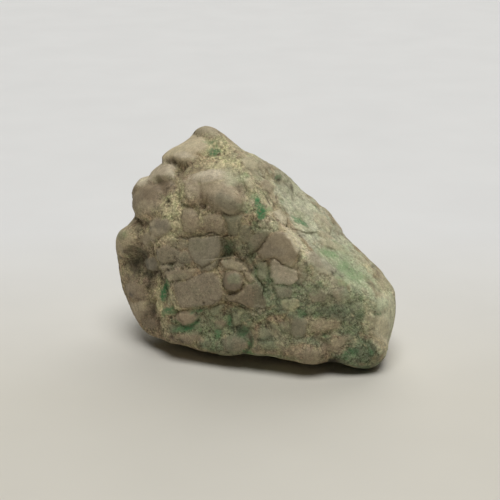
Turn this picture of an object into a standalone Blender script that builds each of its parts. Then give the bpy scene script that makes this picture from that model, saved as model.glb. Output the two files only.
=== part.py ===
"""Variscite breccia: a hand-sized weathered stone, one natural solid.

Pale, rounded clasts of phosphate rock are set in a crumbly matrix.  The stone
stands on a small natural flat.  It is drawn on its show side: a sketch grid
runs right and down as seen from the front, looking down by SIGHT_TILT.
Sketch place MIDDLE lies over the inner centre, and UNIT is one grid step.
"""
import math

import bpy
import numpy as np

NODE = "variscite_breccia"

UNIT = 0.385e-3                     # one step of the sketch grid
MIDDLE = (256.0, 249.0)             # sketch place of the inner centre
SIGHT_TILT = math.radians(20.0)     # the show side is seen from this far above
SIGHT_DISTANCE = 0.470              # standpoint to inner centre
CENTRE_HEIGHT = 0.0390              # inner centre above the resting face
FRONT_DEPTH = 0.0345                # inner centre to the foremost swelling
ORIGIN_SHIFT = (0.0010, -0.0011)    # moves the stone over the origin
BACK_DEPTH = 0.0350                 # inner centre to the hindmost swelling
FULLNESS = 2.35                     # 2 is an ellipsoid, more is boxier
FACET_SHARPNESS = 30.0              # how tightly the broad faces meet
RIM_LEAN = 0.36                     # how far the lower rim leans to the viewer
RIM_TURN = 0.17                     # how far the right rim turns to the viewer, the left away
RIM_REACH = 0.30                    # how far the outline's lumps run inwards
GRID_STEPS = 64                     # cells along each side of the cube grid
FACET_COUNT = 9300                  # triangles of the finished solid
MM = 0.001

# The outline of the show side, clockwise from the summit (sketch right, down).
OUTLINE = (
    (205, 125), (219, 130), (232, 142), (250, 157), (270, 163), (288, 175), (301, 189),
    (321, 204), (336, 221), (350, 241), (370, 260), (385, 274), (395, 290), (396, 305),
    (395, 320), (390, 336), (388, 346), (387, 355), (382, 363), (374, 368), (360, 369),
    (340, 362), (330, 360), (315, 365), (290, 360), (268, 356), (245, 354), (225, 356),
    (200, 351), (182, 345), (170, 343), (160, 333), (143, 327), (130, 313), (123, 298),
    (119, 278), (117, 261), (114, 247), (117, 236), (128, 226), (137, 213), (135, 196),
    (137, 183), (142, 177), (151, 177), (156, 173), (165, 167), (163, 157), (178, 148),
    (190, 140), (194, 131),
)

# Broad faces: way out (right, up, towards the viewer) and distance in mm.
BROAD_FACES = (
    ((-0.30, -0.25, 0.92), 26.5),       # shaded front wall, falling back to the left
    ((0.10, -0.29, 0.95), 34.5),        # its right part
    ((0.58, 0.60, 0.55), 27.2),         # long lit slope on the right
    ((-0.30, 0.46, 0.84), 33.5),        # shoulder below the summit
    ((-0.62, 0.32, 0.72), 37.5),        # upper left shoulder
    ((-0.74, -0.20, 0.64), 36.0),       # left flank
    ((0.72, 0.30, 0.62), 43.5),         # right end, front
    ((-0.05, -0.66, 0.75), 45.0),       # lower front, turning under
    ((0.80, 0.20, -0.57), 47.0),        # right end, behind
    ((0.30, 0.62, -0.72), 34.0),        # back slope
    ((-0.50, 0.35, -0.79), 41.0),       # back, left
    ((0.25, -0.20, -0.95), 33.5),       # back, low
    ((-0.62, -0.52, -0.59), 50.5),      # underside, left and behind
    ((0.50, -0.55, -0.67), 47.0),       # underside, right and behind
)

# Swellings: sketch right, down, half length, half width, turn, rise in mm.
SWELLINGS = (
    (187, 150, 26, 15, 22, 0.4),        # long cobble at the head
    (212, 134, 14, 8, -20, 1.0),        # summit
    (163, 174, 14, 11, 18, 1.4),        # upper left boulder
    (147, 198, 17, 22, 10, 3.0),        # its outer lobe
    (126, 243, 12, 18, 0, 2.6),         # left lump
    (137, 297, 15, 27, -15, 2.2),       # lower left lump
    (214, 180, 30, 24, 0, 4.3),         # big cobble below the summit
    (225, 199, 20, 13, -14, 4.5),       # its front block
    (193, 195, 12, 12, 0, 3.9),         # its left lobe
    (250, 170, 20, 18, -30, 1.2),       # pinkish shoulder
    (278, 246, 20, 18, 0, 1.6),         # warm cobble by the ridge
    (234, 281, 12, 11, 0, 1.3),         # domed cobble
    (247, 288, 22, 20, 20, 0.9),        # swell around it
    (357, 262, 20, 11, -40, 1.4),       # cream shoulder
    (380, 326, 9, 13, 0, 0.7),          # cobble, right end
    (379, 304, 9, 9, 0, 0.3),           # cobble above it
    (364, 354, 22, 13, 10, 2.0),        # right foot
    (308, 355, 20, 10, 0, 1.7),         # middle foot
    (235, 346, 14, 11, 0, 1.7),         # rounded cobble, lower edge
    (170, 338, 10, 7, 0, 1.2),          # toe
)

# Broken clasts standing proud: rise in mm, then sketch corners; a tilted slab ends with how
# much it gains for each step right and down.
CLASTS = (
    (1.8, ((158, 157), (163, 149), (172, 144), (184, 137), (192, 134), (203, 137), (208, 143), (206, 150),
           (199, 157), (193, 162), (187, 165), (181, 165), (174, 162), (166, 165)), 0.0, 0.09),
    (1.1, ((148, 180), (153, 170), (162, 163), (171, 163), (176, 171), (177, 180), (168, 180), (160, 180),
           (153, 183)), 0.0, 0.03),
    (0.9, ((152, 221), (160, 219), (171, 221), (173, 230), (168, 236), (158, 236), (151, 231))),
    (0.9, ((185, 211), (193, 209), (198, 216), (198, 228), (193, 233), (185, 230))),
    (0.9, ((204, 219), (212, 216), (222, 217), (226, 226), (229, 233), (218, 235), (207, 232))),
    (0.7, ((222, 215), (232, 216), (241, 216), (240, 228), (238, 236), (230, 236), (226, 226))),
    (1.3, ((190, 239), (205, 238), (221, 237), (221, 247), (219, 256), (203, 267), (196, 261), (190, 252))),
    (1.2, ((160, 250), (170, 246), (178, 252), (176, 262), (166, 264), (160, 260))),
    (0.8, ((168, 270), (180, 268), (196, 269), (190, 278), (180, 280), (172, 279))),
    (1.4, ((177, 285), (185, 281), (203, 272), (213, 273), (222, 277), (225, 289), (223, 301), (210, 304),
           (196, 306), (181, 305), (177, 296))),
    (0.9, ((222, 262), (232, 259), (241, 262), (245, 270), (236, 269), (226, 269))),
    (1.1, ((226, 293), (240, 291), (249, 283), (258, 283), (263, 290), (266, 300), (264, 306),
           (252, 305), (228, 299))),
    (0.9, ((258, 262), (266, 262), (268, 270), (266, 279), (259, 280), (257, 270))),
    (0.8, ((249, 240), (258, 231), (267, 228), (270, 235), (262, 244), (257, 250), (250, 252))),
    (1.1, ((268, 237), (276, 232), (287, 233), (291, 241), (298, 250), (290, 267), (282, 263), (275, 257),
           (262, 257), (259, 251))),
    (1.3, ((271, 262), (275, 259), (281, 264), (290, 268), (297, 272), (297, 280), (288, 284), (276, 284))),
    (1.0, ((307, 252), (316, 253), (323, 261), (336, 268), (336, 273), (324, 274), (314, 268))),
    (0.9, ((319, 238), (330, 239), (343, 247), (338, 250), (326, 247))),
    (1.0, ((272, 210), (280, 209), (288, 219), (287, 225), (279, 222))),
    (0.8, ((261, 180), (270, 179), (275, 186), (270, 192), (263, 189))),
    (0.9, ((330, 291), (344, 288), (352, 296), (346, 304), (335, 300))),
    (1.2, ((290, 321), (298, 319), (306, 321), (306, 332), (301, 337), (293, 336))),
    (0.9, ((307, 320), (320, 319), (326, 326), (322, 333), (311, 333))),
    (0.9, ((321, 343), (334, 339), (347, 339), (346, 347), (336, 350), (324, 350))),
    (1.0, ((257, 332), (266, 329), (274, 333), (272, 340), (261, 341))),
    (1.2, ((180, 312), (189, 309), (196, 313), (198, 319), (193, 324), (183, 324), (178, 318))),
    (0.9, ((213, 322), (221, 319), (227, 325), (222, 331), (215, 329))),
    (0.9, ((131, 302), (145, 300), (151, 308), (147, 318), (138, 321), (132, 312))),
    (0.9, ((124, 283), (136, 281), (147, 284), (148, 295), (140, 299), (128, 296))),
    (0.9, ((146, 261), (150, 257), (156, 257), (160, 262), (160, 268), (155, 271), (149, 269))),
    (0.5, ((371, 302), (374, 298), (380, 296), (385, 299), (386, 306), (381, 311), (374, 310))),
    (0.6, ((371, 322), (374, 317), (381, 315), (387, 320), (389, 331), (383, 338), (375, 334))),
)

# Ledges: the left hand's rise, the right hand's drop in mm, reach, then sketch points.
LEDGES = (
    (0.5, 0.8, 6, ((136, 199), (144, 193), (151, 187), (159, 182), (168, 181), (177, 183))),
    (0.2, 0.8, 5, ((172, 164), (180, 167), (189, 167), (197, 163), (204, 157), (210, 151))),
    (0.6, 1.0, 5, ((229, 236), (220, 236), (211, 233), (200, 236), (190, 238), (177, 239))),
    (0.3, 2.4, 9, ((219, 259), (221, 250), (222, 238))),
    (0.8, 1.8, 7, ((264, 291), (258, 281), (250, 271), (242, 262), (234, 257), (222, 258))),
    (0.7, 2.4, 9, ((155, 246), (159, 258), (161, 268), (165, 277), (169, 287), (172, 296), (178, 307))),
    (0.8, 0.8, 5, ((298, 272), (290, 268), (281, 264), (274, 258), (267, 261))),
    (0.3, 1.0, 6, ((178, 307), (196, 308), (212, 306), (224, 302))),
    (0.3, 0.8, 5, ((226, 300), (240, 303), (252, 308), (266, 306))),
    (0.5, 1.4, 7, ((131, 216), (140, 219), (151, 217))),
    (0.8, 1.8, 7, ((122, 261), (130, 255), (136, 247), (141, 238))),
    (0.9, 1.8, 7, ((152, 290), (153, 300), (157, 311), (161, 321), (164, 332))),
    (0.5, 1.4, 5, ((177, 323), (186, 325), (194, 324), (198, 319))),
    (0.3, 0.9, 4, ((298, 230), (306, 232), (314, 233))),
    (1.7, 0.7, 8, ((362, 288), (365, 302), (367, 322), (372, 334), (380, 341), (387, 350))),
)

# Ridges and furrows: half width, rise in mm, then sketch points along them.
CREASES = (
    (7, 1.0, ((254, 190), (262, 203), (270, 213), (276, 223), (284, 233), (295, 249), (303, 263))),
    (13, 1.7, ((303, 262), (309, 279), (324, 290), (343, 292), (362, 296))),
    (6, 0.8, ((187, 190), (200, 187), (213, 186), (228, 191), (240, 200))),
    (6, 1.2, ((345, 250), (360, 261), (374, 271))),
    (5, 1.7, ((364, 288), (365, 302), (368, 325), (374, 337), (387, 351))),
    (5, -0.8, ((358, 300), (361, 325), (368, 341), (378, 352))),
    (5, -1.4, ((178, 169), (183, 172), (184, 180), (182, 190), (178, 200))),
    (4, -1.2, ((204, 190), (204, 197), (202, 206))),
    (5, -1.6, ((184, 207), (197, 213), (215, 213), (233, 216), (248, 210))),
    (6, -1.6, ((133, 217), (145, 226), (149, 238), (152, 250))),
    (7, -2.2, ((124, 262), (138, 258), (143, 268), (136, 276))),
    (4, -1.4, ((267, 239), (260, 248), (253, 252), (251, 262), (255, 272))),
    (4, -1.6, ((289, 181), (293, 190), (296, 198))),
    (4, -1.4, ((258, 172), (266, 177), (276, 178), (284, 184))),
    (5, -1.0, ((289, 212), (300, 221), (309, 226))),
    (5, -2.0, ((331, 362), (327, 348), (318, 340))),
    (5, -1.5, ((250, 333), (251, 344), (250, 356))),
    (5, -1.0, ((340, 302), (352, 306), (357, 320), (352, 334))),
    (5, -1.2, ((266, 322), (276, 316), (284, 318), (286, 334), (290, 344))),
    (4, -1.0, ((268, 262), (269, 276), (273, 290), (274, 304))),
    (4, -1.2, ((320, 335), (330, 335), (338, 334))),
    (4, -1.0, ((200, 308), (202, 322), (210, 334), (218, 344))),
    (4, -1.2, ((226, 312), (230, 324), (236, 332))),
)

# Pits: sketch right, down, half width, depth in mm.
PITS = (
    (179, 165, 5, 1.2), (204, 203, 6, 2.4), (138, 264, 8, 2.2), (229, 249, 8, 1.8), (260, 211, 6, 1.4),
    (280, 179, 5, 1.4), (205, 302, 4, 1.2), (268, 327, 5, 1.6), (351, 305, 5, 1.2), (150, 304, 4, 1.2),
    (372, 267, 4, 1.0), (172, 262, 4, 1.2), (160, 252, 4, 1.2), (194, 133, 5, 1.2), (325, 307, 5, 1.0),
    (244, 284, 4, 1.0), (171, 336, 4, 1.0), (126, 262, 5, 1.2), (131, 274, 5, 1.2), (147, 277, 5, 1.4),
    (149, 290, 4, 1.2), (133, 309, 4, 0.8),
)

# Feet of the underside: ground place right and back, reach and drop in mm.
FEET = ((-20.0, 4.0, 12.0, 3.4), (27.0, -6.0, 14.0, 4.6))
GROUND_TRIM = 0.35                  # the lowest mm, worn to the resting flat


def clear_scene():
    """Start from an empty scene."""
    for item in list(bpy.data.objects):
        bpy.data.objects.remove(item, do_unlink=True)


def smooth_step(edge0, edge1, value):
    """Ease from 0 at edge0 to 1 at edge1."""
    part = np.clip((value - edge0) / (edge1 - edge0), 0.0, 1.0)
    return part * part * (3.0 - 2.0 * part)


def lattice_value(cells, seed):
    """A fixed number from -1 to 1 for each whole-number lattice cell."""
    x, y, z = cells[..., 0], cells[..., 1], cells[..., 2]
    mixed = (x * 374761393 + y * 668265263 + z * 1274126177 + seed * 974634777) & 0xFFFFFFFF
    mixed = ((mixed ^ (mixed >> 13)) * 1103515245) & 0xFFFFFFFF
    return ((mixed ^ (mixed >> 16)) & 0xFFFF) / 32767.5 - 1.0


def smooth_noise(points, size, seed):
    """Smooth lumps about size across, from -1 to 1, fixed by the seed."""
    scaled = points / size + 100.0
    cell = np.floor(scaled).astype(np.int64)
    part = scaled - cell
    ease = part * part * part * (part * (part * 6.0 - 15.0) + 10.0)
    total = np.zeros(len(points))
    for corner in np.ndindex(2, 2, 2):
        side = np.array(corner)
        weight = np.prod(np.where(side == 1, ease, 1.0 - ease), axis=1)
        total += weight * lattice_value(cell + side, seed)
    return total


def clast_field(points, size, seed):
    """Rounded clasts about size across: 1 in a clast's middle, 0 in the joints."""
    scaled = points / size + 50.0
    cell = np.floor(scaled).astype(np.int64)
    nearest = np.full(len(points), 9.0)
    second = np.full(len(points), 9.0)
    for corner in np.ndindex(3, 3, 3):
        spot = cell + np.array(corner) - 1
        jitter = [lattice_value(spot, seed + axis) * 0.42 + 0.5 for axis in range(3)]
        gap = np.linalg.norm(spot + np.stack(jitter, axis=-1) - scaled, axis=1)
        second = np.minimum(second, np.maximum(nearest, gap))
        nearest = np.minimum(nearest, gap)
    return smooth_step(0.0, 0.34, second - nearest)


def cube_grid(steps):
    """Directions of a cube grid blown up to a ball, welded, with outward faces."""
    ease = np.tan(np.linspace(-1.0, 1.0, steps + 1) * math.pi / 4.0)
    across, along = np.meshgrid(ease, ease, indexing="ij")
    ones = np.ones_like(across)
    sides = []
    for turn in range(3):
        for sign in (1.0, -1.0):
            layers = (sign * ones, across, sign * along)
            side = np.stack([layers[(k - turn) % 3] for k in range(3)], axis=-1)
            sides.append(side.reshape(-1, 3))
    corners = np.concatenate(sides)
    index = np.arange(6 * (steps + 1) ** 2).reshape(6, steps + 1, steps + 1)
    quads = np.stack([index[:, :-1, :-1], index[:, 1:, :-1], index[:, 1:, 1:], index[:, :-1, 1:]], axis=-1)
    keys = np.round(corners * 1e6).astype(np.int64)
    _, first, place = np.unique(keys, axis=0, return_index=True, return_inverse=True)
    rays = corners[first] / np.linalg.norm(corners[first], axis=1, keepdims=True)
    return rays, place.reshape(-1)[quads.reshape(-1, 4)]


def outline_radius(angle, softness):
    """Distance from the centre to the outline; softness (radians) rounds its lumps off."""
    places = (np.array(OUTLINE, dtype=float) - MIDDLE) * (UNIT, -UNIT)
    own = np.arctan2(places[:, 1], places[:, 0])
    reach = np.hypot(places[:, 0], places[:, 1])
    order = np.argsort(own)
    dense = np.linspace(-math.pi, math.pi, 721)
    curve = np.interp(dense, own[order], reach[order], period=2.0 * math.pi)[:-1]
    offsets = np.arange(720) * math.pi / 360.0
    offsets = np.minimum(offsets, 2.0 * math.pi - offsets)
    kernel = np.exp(-0.5 * (offsets / softness) ** 2)
    curve = np.fft.ifft(np.fft.fft(curve) * np.fft.fft(kernel / kernel.sum())).real
    return np.interp(angle, dense[:-1], curve, period=2.0 * math.pi)


def rim_lean(rays):
    """How far the rim stands towards the viewer on each ray: more low down and on the right."""
    lean = RIM_LEAN * smooth_step(0.5, 1.0, -rays[:, 1])
    lean += RIM_TURN * (rays[:, 0] - 0.4 * np.abs(rays[:, 0]))
    return lean * smooth_step(-0.9, -0.3, rays[:, 2])


def body_radius(rays):
    """Distance to the broad form along each ray: a pillow trimmed by broad faces."""
    angle = np.arctan2(rays[:, 1], rays[:, 0])
    lean = rim_lean(rays)
    nearer = rays[:, 2] - lean
    nearness = np.exp(-(nearer / RIM_REACH) ** 2)
    broad = outline_radius(angle, 0.22)
    outline = broad + (outline_radius(angle, 0.025) - broad) * nearness
    outline *= 0.995 - lean * outline / SIGHT_DISTANCE
    flat = np.hypot(rays[:, 0], rays[:, 1])
    depth = np.where(nearer > 0.0, FRONT_DEPTH, BACK_DEPTH)
    pillow = (flat / outline) ** FULLNESS + (np.abs(nearer) / depth) ** FULLNESS
    inverse = pillow ** (FACET_SHARPNESS / FULLNESS)
    for way_out, distance in BROAD_FACES:
        way_out = np.array(way_out) / np.linalg.norm(way_out)
        inverse += (np.maximum(rays @ way_out, 0.0) / (distance * MM)) ** FACET_SHARPNESS
    return inverse ** (-1.0 / FACET_SHARPNESS)


def sketch_places(points):
    """Where points (right, up, towards the viewer) fall on the sketch grid."""
    nearer = 1.0 - points[:, 2] / SIGHT_DISTANCE
    return (MIDDLE[0] + points[:, 0] / nearer / UNIT,
            MIDDLE[1] - points[:, 1] / nearer / UNIT)


def swelling(across, down, form):
    """Rise of one rounded cobble: a dome with a steep foot."""
    right, low, half_length, half_width, turn, rise = form
    turn = math.radians(turn)
    along = (across - right) * math.cos(turn) - (down - low) * math.sin(turn)
    beside = (across - right) * math.sin(turn) + (down - low) * math.cos(turn)
    reach = np.abs(along / half_length) ** 2.2 + np.abs(beside / half_width) ** 2.2
    return rise * MM * np.clip(1.0 - reach, 0.0, 1.0) ** 0.62


def chain_gap(across, down, chain):
    """Distance to a chain of points, positive on the left hand walking along it."""
    nearest = np.full(len(across), 1e9)
    signed = np.zeros(len(across))
    for (x0, y0), (x1, y1) in zip(chain[:-1], chain[1:]):
        length = (x1 - x0) ** 2 + (y1 - y0) ** 2
        part = np.clip(((across - x0) * (x1 - x0) + (down - y0) * (y1 - y0)) / length, 0.0, 1.0)
        gap = np.hypot(across - x0 - part * (x1 - x0), down - y0 - part * (y1 - y0))
        side = np.sign((across - x0) * (y1 - y0) - (down - y0) * (x1 - x0))
        signed = np.where(gap < nearest, gap * side, signed)
        nearest = np.minimum(nearest, gap)
    return signed


def clast_rise(across, down, form):
    """Rise of one broken clast: a low plate with a bevelled edge, tilted if it has slopes."""
    rise, corners, *slopes = form
    ring = corners + corners[:1]
    inside = np.zeros(len(across), dtype=bool)
    for (x0, y0), (x1, y1) in zip(ring[:-1], ring[1:]):
        if y0 != y1:
            crossing = x0 + (down - y0) * (x1 - x0) / (y1 - y0)
            inside ^= ((y0 > down) != (y1 > down)) & (across < crossing)
    depth = np.where(inside, np.abs(chain_gap(across, down, ring)), 0.0)
    height = np.full(len(across), rise)
    if slopes:
        middle = np.mean(corners, axis=0)
        height += (across - middle[0]) * slopes[0] + (down - middle[1]) * slopes[1]
    return height * MM * (1.0 - np.exp(-depth / 2.5))


def ledge(across, down, form):
    """Rise and drop either side of one step in the surface."""
    rise, drop, reach, chain = form
    signed = chain_gap(across, down, chain)
    side = smooth_step(-1.5, 1.5, signed)
    return (rise * side - drop * (1.0 - side)) * MM * np.exp(-np.abs(signed) / reach)


def crease(across, down, form):
    """Rise of one ridge, or fall of one furrow, along its chain of points."""
    half_width, rise, chain = form
    gap = chain_gap(across, down, chain) / half_width
    return rise * MM * np.exp(-gap ** 2 * 1.6)


def show_side_relief(points, rays):
    """Cobbles, clasts, ledges, ridges and pits of the show side, as rise along the ray."""
    across, down = sketch_places(points)
    relief = np.zeros(len(points))
    for form in SWELLINGS:
        relief = np.maximum(relief, swelling(across, down, form))
    plates = np.zeros(len(points))
    for form in CLASTS:
        plates = np.maximum(plates, clast_rise(across, down, form))
    relief += plates
    for form in LEDGES:
        relief += ledge(across, down, form)
    for form in CREASES:
        relief += crease(across, down, form)
    for right, low, half_width, depth in PITS:
        gap = np.hypot(across - right, down - low) / half_width
        relief -= depth * MM * np.exp(-gap ** 2)
    return relief * smooth_step(0.0, 0.30, rays[:, 2] - rim_lean(rays))


def far_side_relief(points, rays):
    """Rounded clasts and shallow furrows of the other sides."""
    weight = 1.0 - smooth_step(-0.30, 0.12, rays[:, 2] - rim_lean(rays))
    cobbles = clast_field(points, 0.017, 21) * 1.9 * MM
    small = clast_field(points, 0.009, 47) * 0.6 * MM
    return weight * (cobbles + small - 1.4 * MM)


def stone_points(rays):
    """Surface points in the sketch frame (right, up, towards the viewer)."""
    points = rays * body_radius(rays)[:, None]
    calm = 1.0 - 0.75 * np.exp(-((rays[:, 2] - rim_lean(rays)) / 0.25) ** 2)
    relief = show_side_relief(points, rays) + far_side_relief(points, rays)
    relief += calm * smooth_noise(points, 0.016, 5) * 1.0 * MM
    relief += smooth_noise(points, 0.006, 9) * 0.35 * MM
    downward = -rays[:, 1] * math.cos(SIGHT_TILT) - rays[:, 2] * math.sin(SIGHT_TILT)
    relief *= 1.0 - 0.9 * smooth_step(0.86, 0.96, downward)
    return points + rays * relief[:, None]


def stand_up(points):
    """Turn sketch-frame points upright, drop the feet and flatten them on the ground."""
    lean, rise = math.sin(SIGHT_TILT), math.cos(SIGHT_TILT)
    upright = np.stack([points[:, 0],
                        points[:, 1] * lean - points[:, 2] * rise,
                        points[:, 1] * rise + points[:, 2] * lean + CENTRE_HEIGHT], axis=-1)
    low = 1.0 - smooth_step(8.0 * MM, 20.0 * MM, upright[:, 2])
    for right, back, reach, drop in FEET:
        gap = np.hypot(upright[:, 0] / MM - right, upright[:, 1] / MM - back) / reach
        upright[:, 2] -= drop * MM * low * np.exp(-gap ** 2)
    upright[:, 2] = np.maximum(upright[:, 2], 0.0)
    upright[:, :2] += ORIGIN_SHIFT
    return upright


def level_feet(mesh):
    """Bring every corner within GROUND_TRIM of the ground down to one flat."""
    places = np.empty(len(mesh.vertices) * 3)
    mesh.vertices.foreach_get("co", places)
    places = places.reshape(-1, 3)
    places[places[:, 2] < GROUND_TRIM * MM, 2] = 0.0
    mesh.vertices.foreach_set("co", places.reshape(-1))
    mesh.update()


def stone_material():
    """Weathered grey-tan phosphate rock."""
    material = bpy.data.materials.new("breccia_rock")
    material.use_nodes = True
    shader = material.node_tree.nodes["Principled BSDF"]
    shader.inputs["Base Color"].default_value = (0.24, 0.21, 0.14, 1.0)
    shader.inputs["Roughness"].default_value = 0.82
    shader.inputs["Metallic"].default_value = 0.0
    return material


def build_stone():
    """Make the stone as one closed faceted solid."""
    rays, quads = cube_grid(GRID_STEPS)
    mesh = bpy.data.meshes.new(NODE)
    mesh.from_pydata(stand_up(stone_points(rays)).tolist(), [], quads.tolist())
    mesh.materials.append(stone_material())
    stone = bpy.data.objects.new(NODE, mesh)
    bpy.context.collection.objects.link(stone)
    thin = stone.modifiers.new("facets", "DECIMATE")
    thin.ratio = FACET_COUNT / (len(quads) * 2)
    thin.use_collapse_triangulate = True
    thinned = stone.evaluated_get(bpy.context.evaluated_depsgraph_get())
    finished = bpy.data.meshes.new_from_object(thinned)
    stone.modifiers.remove(thin)
    stone.data = finished
    level_feet(finished)
    return stone


clear_scene()
build_stone()
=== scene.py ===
"""A weathered breccia stone of grey-tan clasts with green phosphate veins, on a pale stage."""
import math
from types import SimpleNamespace

import bpy
import numpy as np
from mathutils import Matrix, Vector


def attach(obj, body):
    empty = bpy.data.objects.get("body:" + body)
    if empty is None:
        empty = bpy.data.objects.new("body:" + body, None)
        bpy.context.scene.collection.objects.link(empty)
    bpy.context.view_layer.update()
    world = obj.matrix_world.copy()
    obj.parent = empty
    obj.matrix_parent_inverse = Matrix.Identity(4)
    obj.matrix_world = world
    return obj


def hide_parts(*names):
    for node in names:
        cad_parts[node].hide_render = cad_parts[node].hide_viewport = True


bl_info = {
    "name": "Variscite Breccia",
    "version": (1, 0, 0),
    "blender": (4, 5, 0),
    "location": "3D View > Sidebar > Stone",
    "description": "Builds a hand-sized breccia stone with green veins and a plain stage",
    "category": "Object",
}

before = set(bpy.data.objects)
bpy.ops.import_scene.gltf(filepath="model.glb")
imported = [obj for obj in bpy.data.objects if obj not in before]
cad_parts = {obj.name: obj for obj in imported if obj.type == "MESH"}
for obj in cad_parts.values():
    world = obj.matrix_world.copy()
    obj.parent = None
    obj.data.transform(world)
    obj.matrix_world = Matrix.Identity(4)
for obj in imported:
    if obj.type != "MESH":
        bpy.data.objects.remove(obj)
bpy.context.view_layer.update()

NODE = "variscite_breccia"
MM = 0.001

# The sketch grid: its steps run right and down, as seen from the standpoint.
UNIT = 0.385 * MM                   # one step of the grid at the stone's middle
MIDDLE = (256.0, 249.0)             # the step under the middle of the stone
SIGHT_TILT = math.radians(20.0)     # how far the standpoint looks down
SIGHT_DISTANCE = 470.0 * MM         # from the standpoint to the middle
CENTRE_HEIGHT = 39.0 * MM           # of the middle over the ground
ORIGIN_SHIFT = (1.0 * MM, -1.1 * MM)

# The broad form, a pillow over the outline with flat broad faces.
FRONT_DEPTH = 34.5 * MM
BACK_DEPTH = 35.0 * MM
FULLNESS = 2.35                     # power of the pillow's super-ellipse
FACET_SHARPNESS = 30.0              # power that blends the broad faces in
RIM_LEAN = 0.36                     # how far the low rim stands towards the viewer
RIM_TURN = 0.17                     # and the rim on the right
RIM_REACH = 0.30                    # how far the outline's detail runs in from the rim
GRID_STEPS = 128                    # cells along each side of the cube grid
GRID_PULL = 0.35                    # how far the grid is drawn to the show side

# The seeded relief: distance between the middles of its cells.
HUMP_SIZE = 17.0 * MM
CLAST_SIZE = 9.0 * MM
CHIP_SIZE = 3.9 * MM
CRUMB_SIZE = 1.7 * MM

# The broken clasts, in grid steps.
CLAST_REACH = 34.0                  # farther from a clast's middle than this none of it lies
CLAST_MARGIN = 0.9                  # how far a clast runs past its corners
BEVEL_REACH = 1.3                   # how far in the bevel of its edge runs
DOME_REACH = 6.0                    # and the dome of its top
JOINT_WIDTH = 0.8                   # half width of the joint round it

# The finish: sizes of its noises and cells.
GRAIN_SIZE = 0.35 * MM
SPECK_SIZE = 0.8 * MM
FINE_CRUMB_SIZE = 0.9 * MM
SCATTER_SIZE = 1.0 * MM
CRACK_SIZE = 2.1 * MM
PATCH_SIZE = 2.6 * MM
BUMP_HEIGHT = 0.25 * MM

# The stage.
KEY_WAY = (0.03, -0.29, 1.0)        # from the stone towards the light overhead
GLOW_WAY = (0.25, 0.90, 1.0)        # from the stone towards the bright wall behind
LIGHT_COLOUR = (1.0, 0.99, 0.965)
AIR_COLOUR = (1.0, 0.99, 0.97, 1.0)
FLOOR_HALF = 6.0                    # metres
PICTURE_STEPS = 500.0               # grid steps across the whole view
SENSOR_WIDTH = 36.0                 # millimetres

# The stone's outline from the standpoint, walked clockwise: right and down.
OUTLINE = (
    (205, 125), (219, 130), (232, 142), (250, 157), (270, 163), (288, 175), (301, 189), (321, 204),
    (336, 221), (350, 241), (370, 260), (385, 274), (395, 290), (396, 305), (395, 320), (390, 336),
    (388, 346), (387, 355), (382, 363), (374, 368), (360, 369), (340, 362), (330, 360), (315, 365),
    (290, 360), (268, 356), (245, 354), (225, 356), (200, 351), (182, 345), (170, 343), (161, 338),
    (149, 336), (137, 329), (127, 314), (121, 299), (119, 278), (117, 261), (114, 247), (117, 236),
    (128, 226), (137, 213), (135, 196), (137, 183), (142, 177), (151, 177), (156, 173), (165, 167),
    (163, 157), (178, 148), (190, 140), (194, 131),
)

# Broad faces: way out (right, up, towards the viewer) and distance in mm.
BROAD_FACES = (
    ((-0.30, -0.25, 0.92), 26.5), ((0.10, -0.29, 0.95), 34.5), ((0.58, 0.60, 0.55), 27.2),
    ((-0.30, 0.46, 0.84), 33.5), ((-0.62, 0.32, 0.72), 37.5), ((-0.74, -0.20, 0.64), 36.0),
    ((0.72, 0.30, 0.62), 43.5), ((-0.05, -0.66, 0.75), 45.0), ((0.80, 0.20, -0.57), 47.0),
    ((0.30, 0.62, -0.72), 34.0), ((-0.50, 0.35, -0.79), 41.0), ((0.25, -0.20, -0.95), 33.5),
    ((-0.62, -0.52, -0.59), 50.5), ((0.50, -0.55, -0.67), 47.0),
)

# Swellings: right, down, half length, half width, turn in degrees, rise in mm.
SWELLINGS = (
    (187, 150, 26, 15, 22, 0.4), (212, 134, 14, 8, -20, 1.0), (163, 174, 14, 11, 18, 1.4),
    (147, 198, 17, 22, 10, 3.0), (126, 243, 12, 18, 0, 2.6), (137, 297, 15, 27, -15, 2.2),
    (214, 180, 30, 24, 0, 4.3), (225, 199, 20, 13, -14, 4.5), (193, 195, 12, 12, 0, 3.9),
    (250, 170, 20, 18, -30, 1.2), (278, 246, 20, 18, 0, 1.6), (234, 281, 12, 11, 0, 1.3),
    (247, 288, 22, 20, 20, 0.9), (357, 262, 20, 11, -40, 1.4), (380, 326, 9, 13, 0, 0.7),
    (379, 304, 9, 9, 0, 0.3), (364, 354, 22, 13, 10, 2.0), (308, 355, 20, 10, 0, 1.7),
    (235, 346, 14, 11, 0, 1.7), (170, 338, 10, 7, 0, 1.2),
)

# Colours of the rock, in linear light.
MAUVE = (0.305, 0.258, 0.185)
GREY = (0.31, 0.275, 0.195)
BROWN = (0.355, 0.28, 0.185)
PINK = (0.385, 0.315, 0.21)
TAN = (0.49, 0.40, 0.25)
OLIVE = (0.29, 0.305, 0.185)
PALE = (0.43, 0.37, 0.255)
SAND = (0.57, 0.48, 0.315)
LILAC = (0.50, 0.42, 0.30)
ROSE = (0.53, 0.47, 0.315)
CREAM = (0.68, 0.59, 0.36)
SLOPE = (0.565, 0.56, 0.40)
MOSS = (0.25, 0.285, 0.175)
DARK_MOSS = (0.185, 0.215, 0.135)
EARTH = (0.20, 0.17, 0.105)
WHEAT = (0.48, 0.435, 0.28)
STRAW = (0.58, 0.525, 0.315)
SAGE = (0.485, 0.525, 0.34)
KHAKI = (0.385, 0.39, 0.24)
LINEN = (0.57, 0.525, 0.355)
UMBER = (0.385, 0.31, 0.195)
# Dark brown: painted shade on the brow and front of the upper left blocks, under the round clast and low on
# the left lump where it turns under.
SHADE_BROWN = (0.24, 0.185, 0.12)
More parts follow.
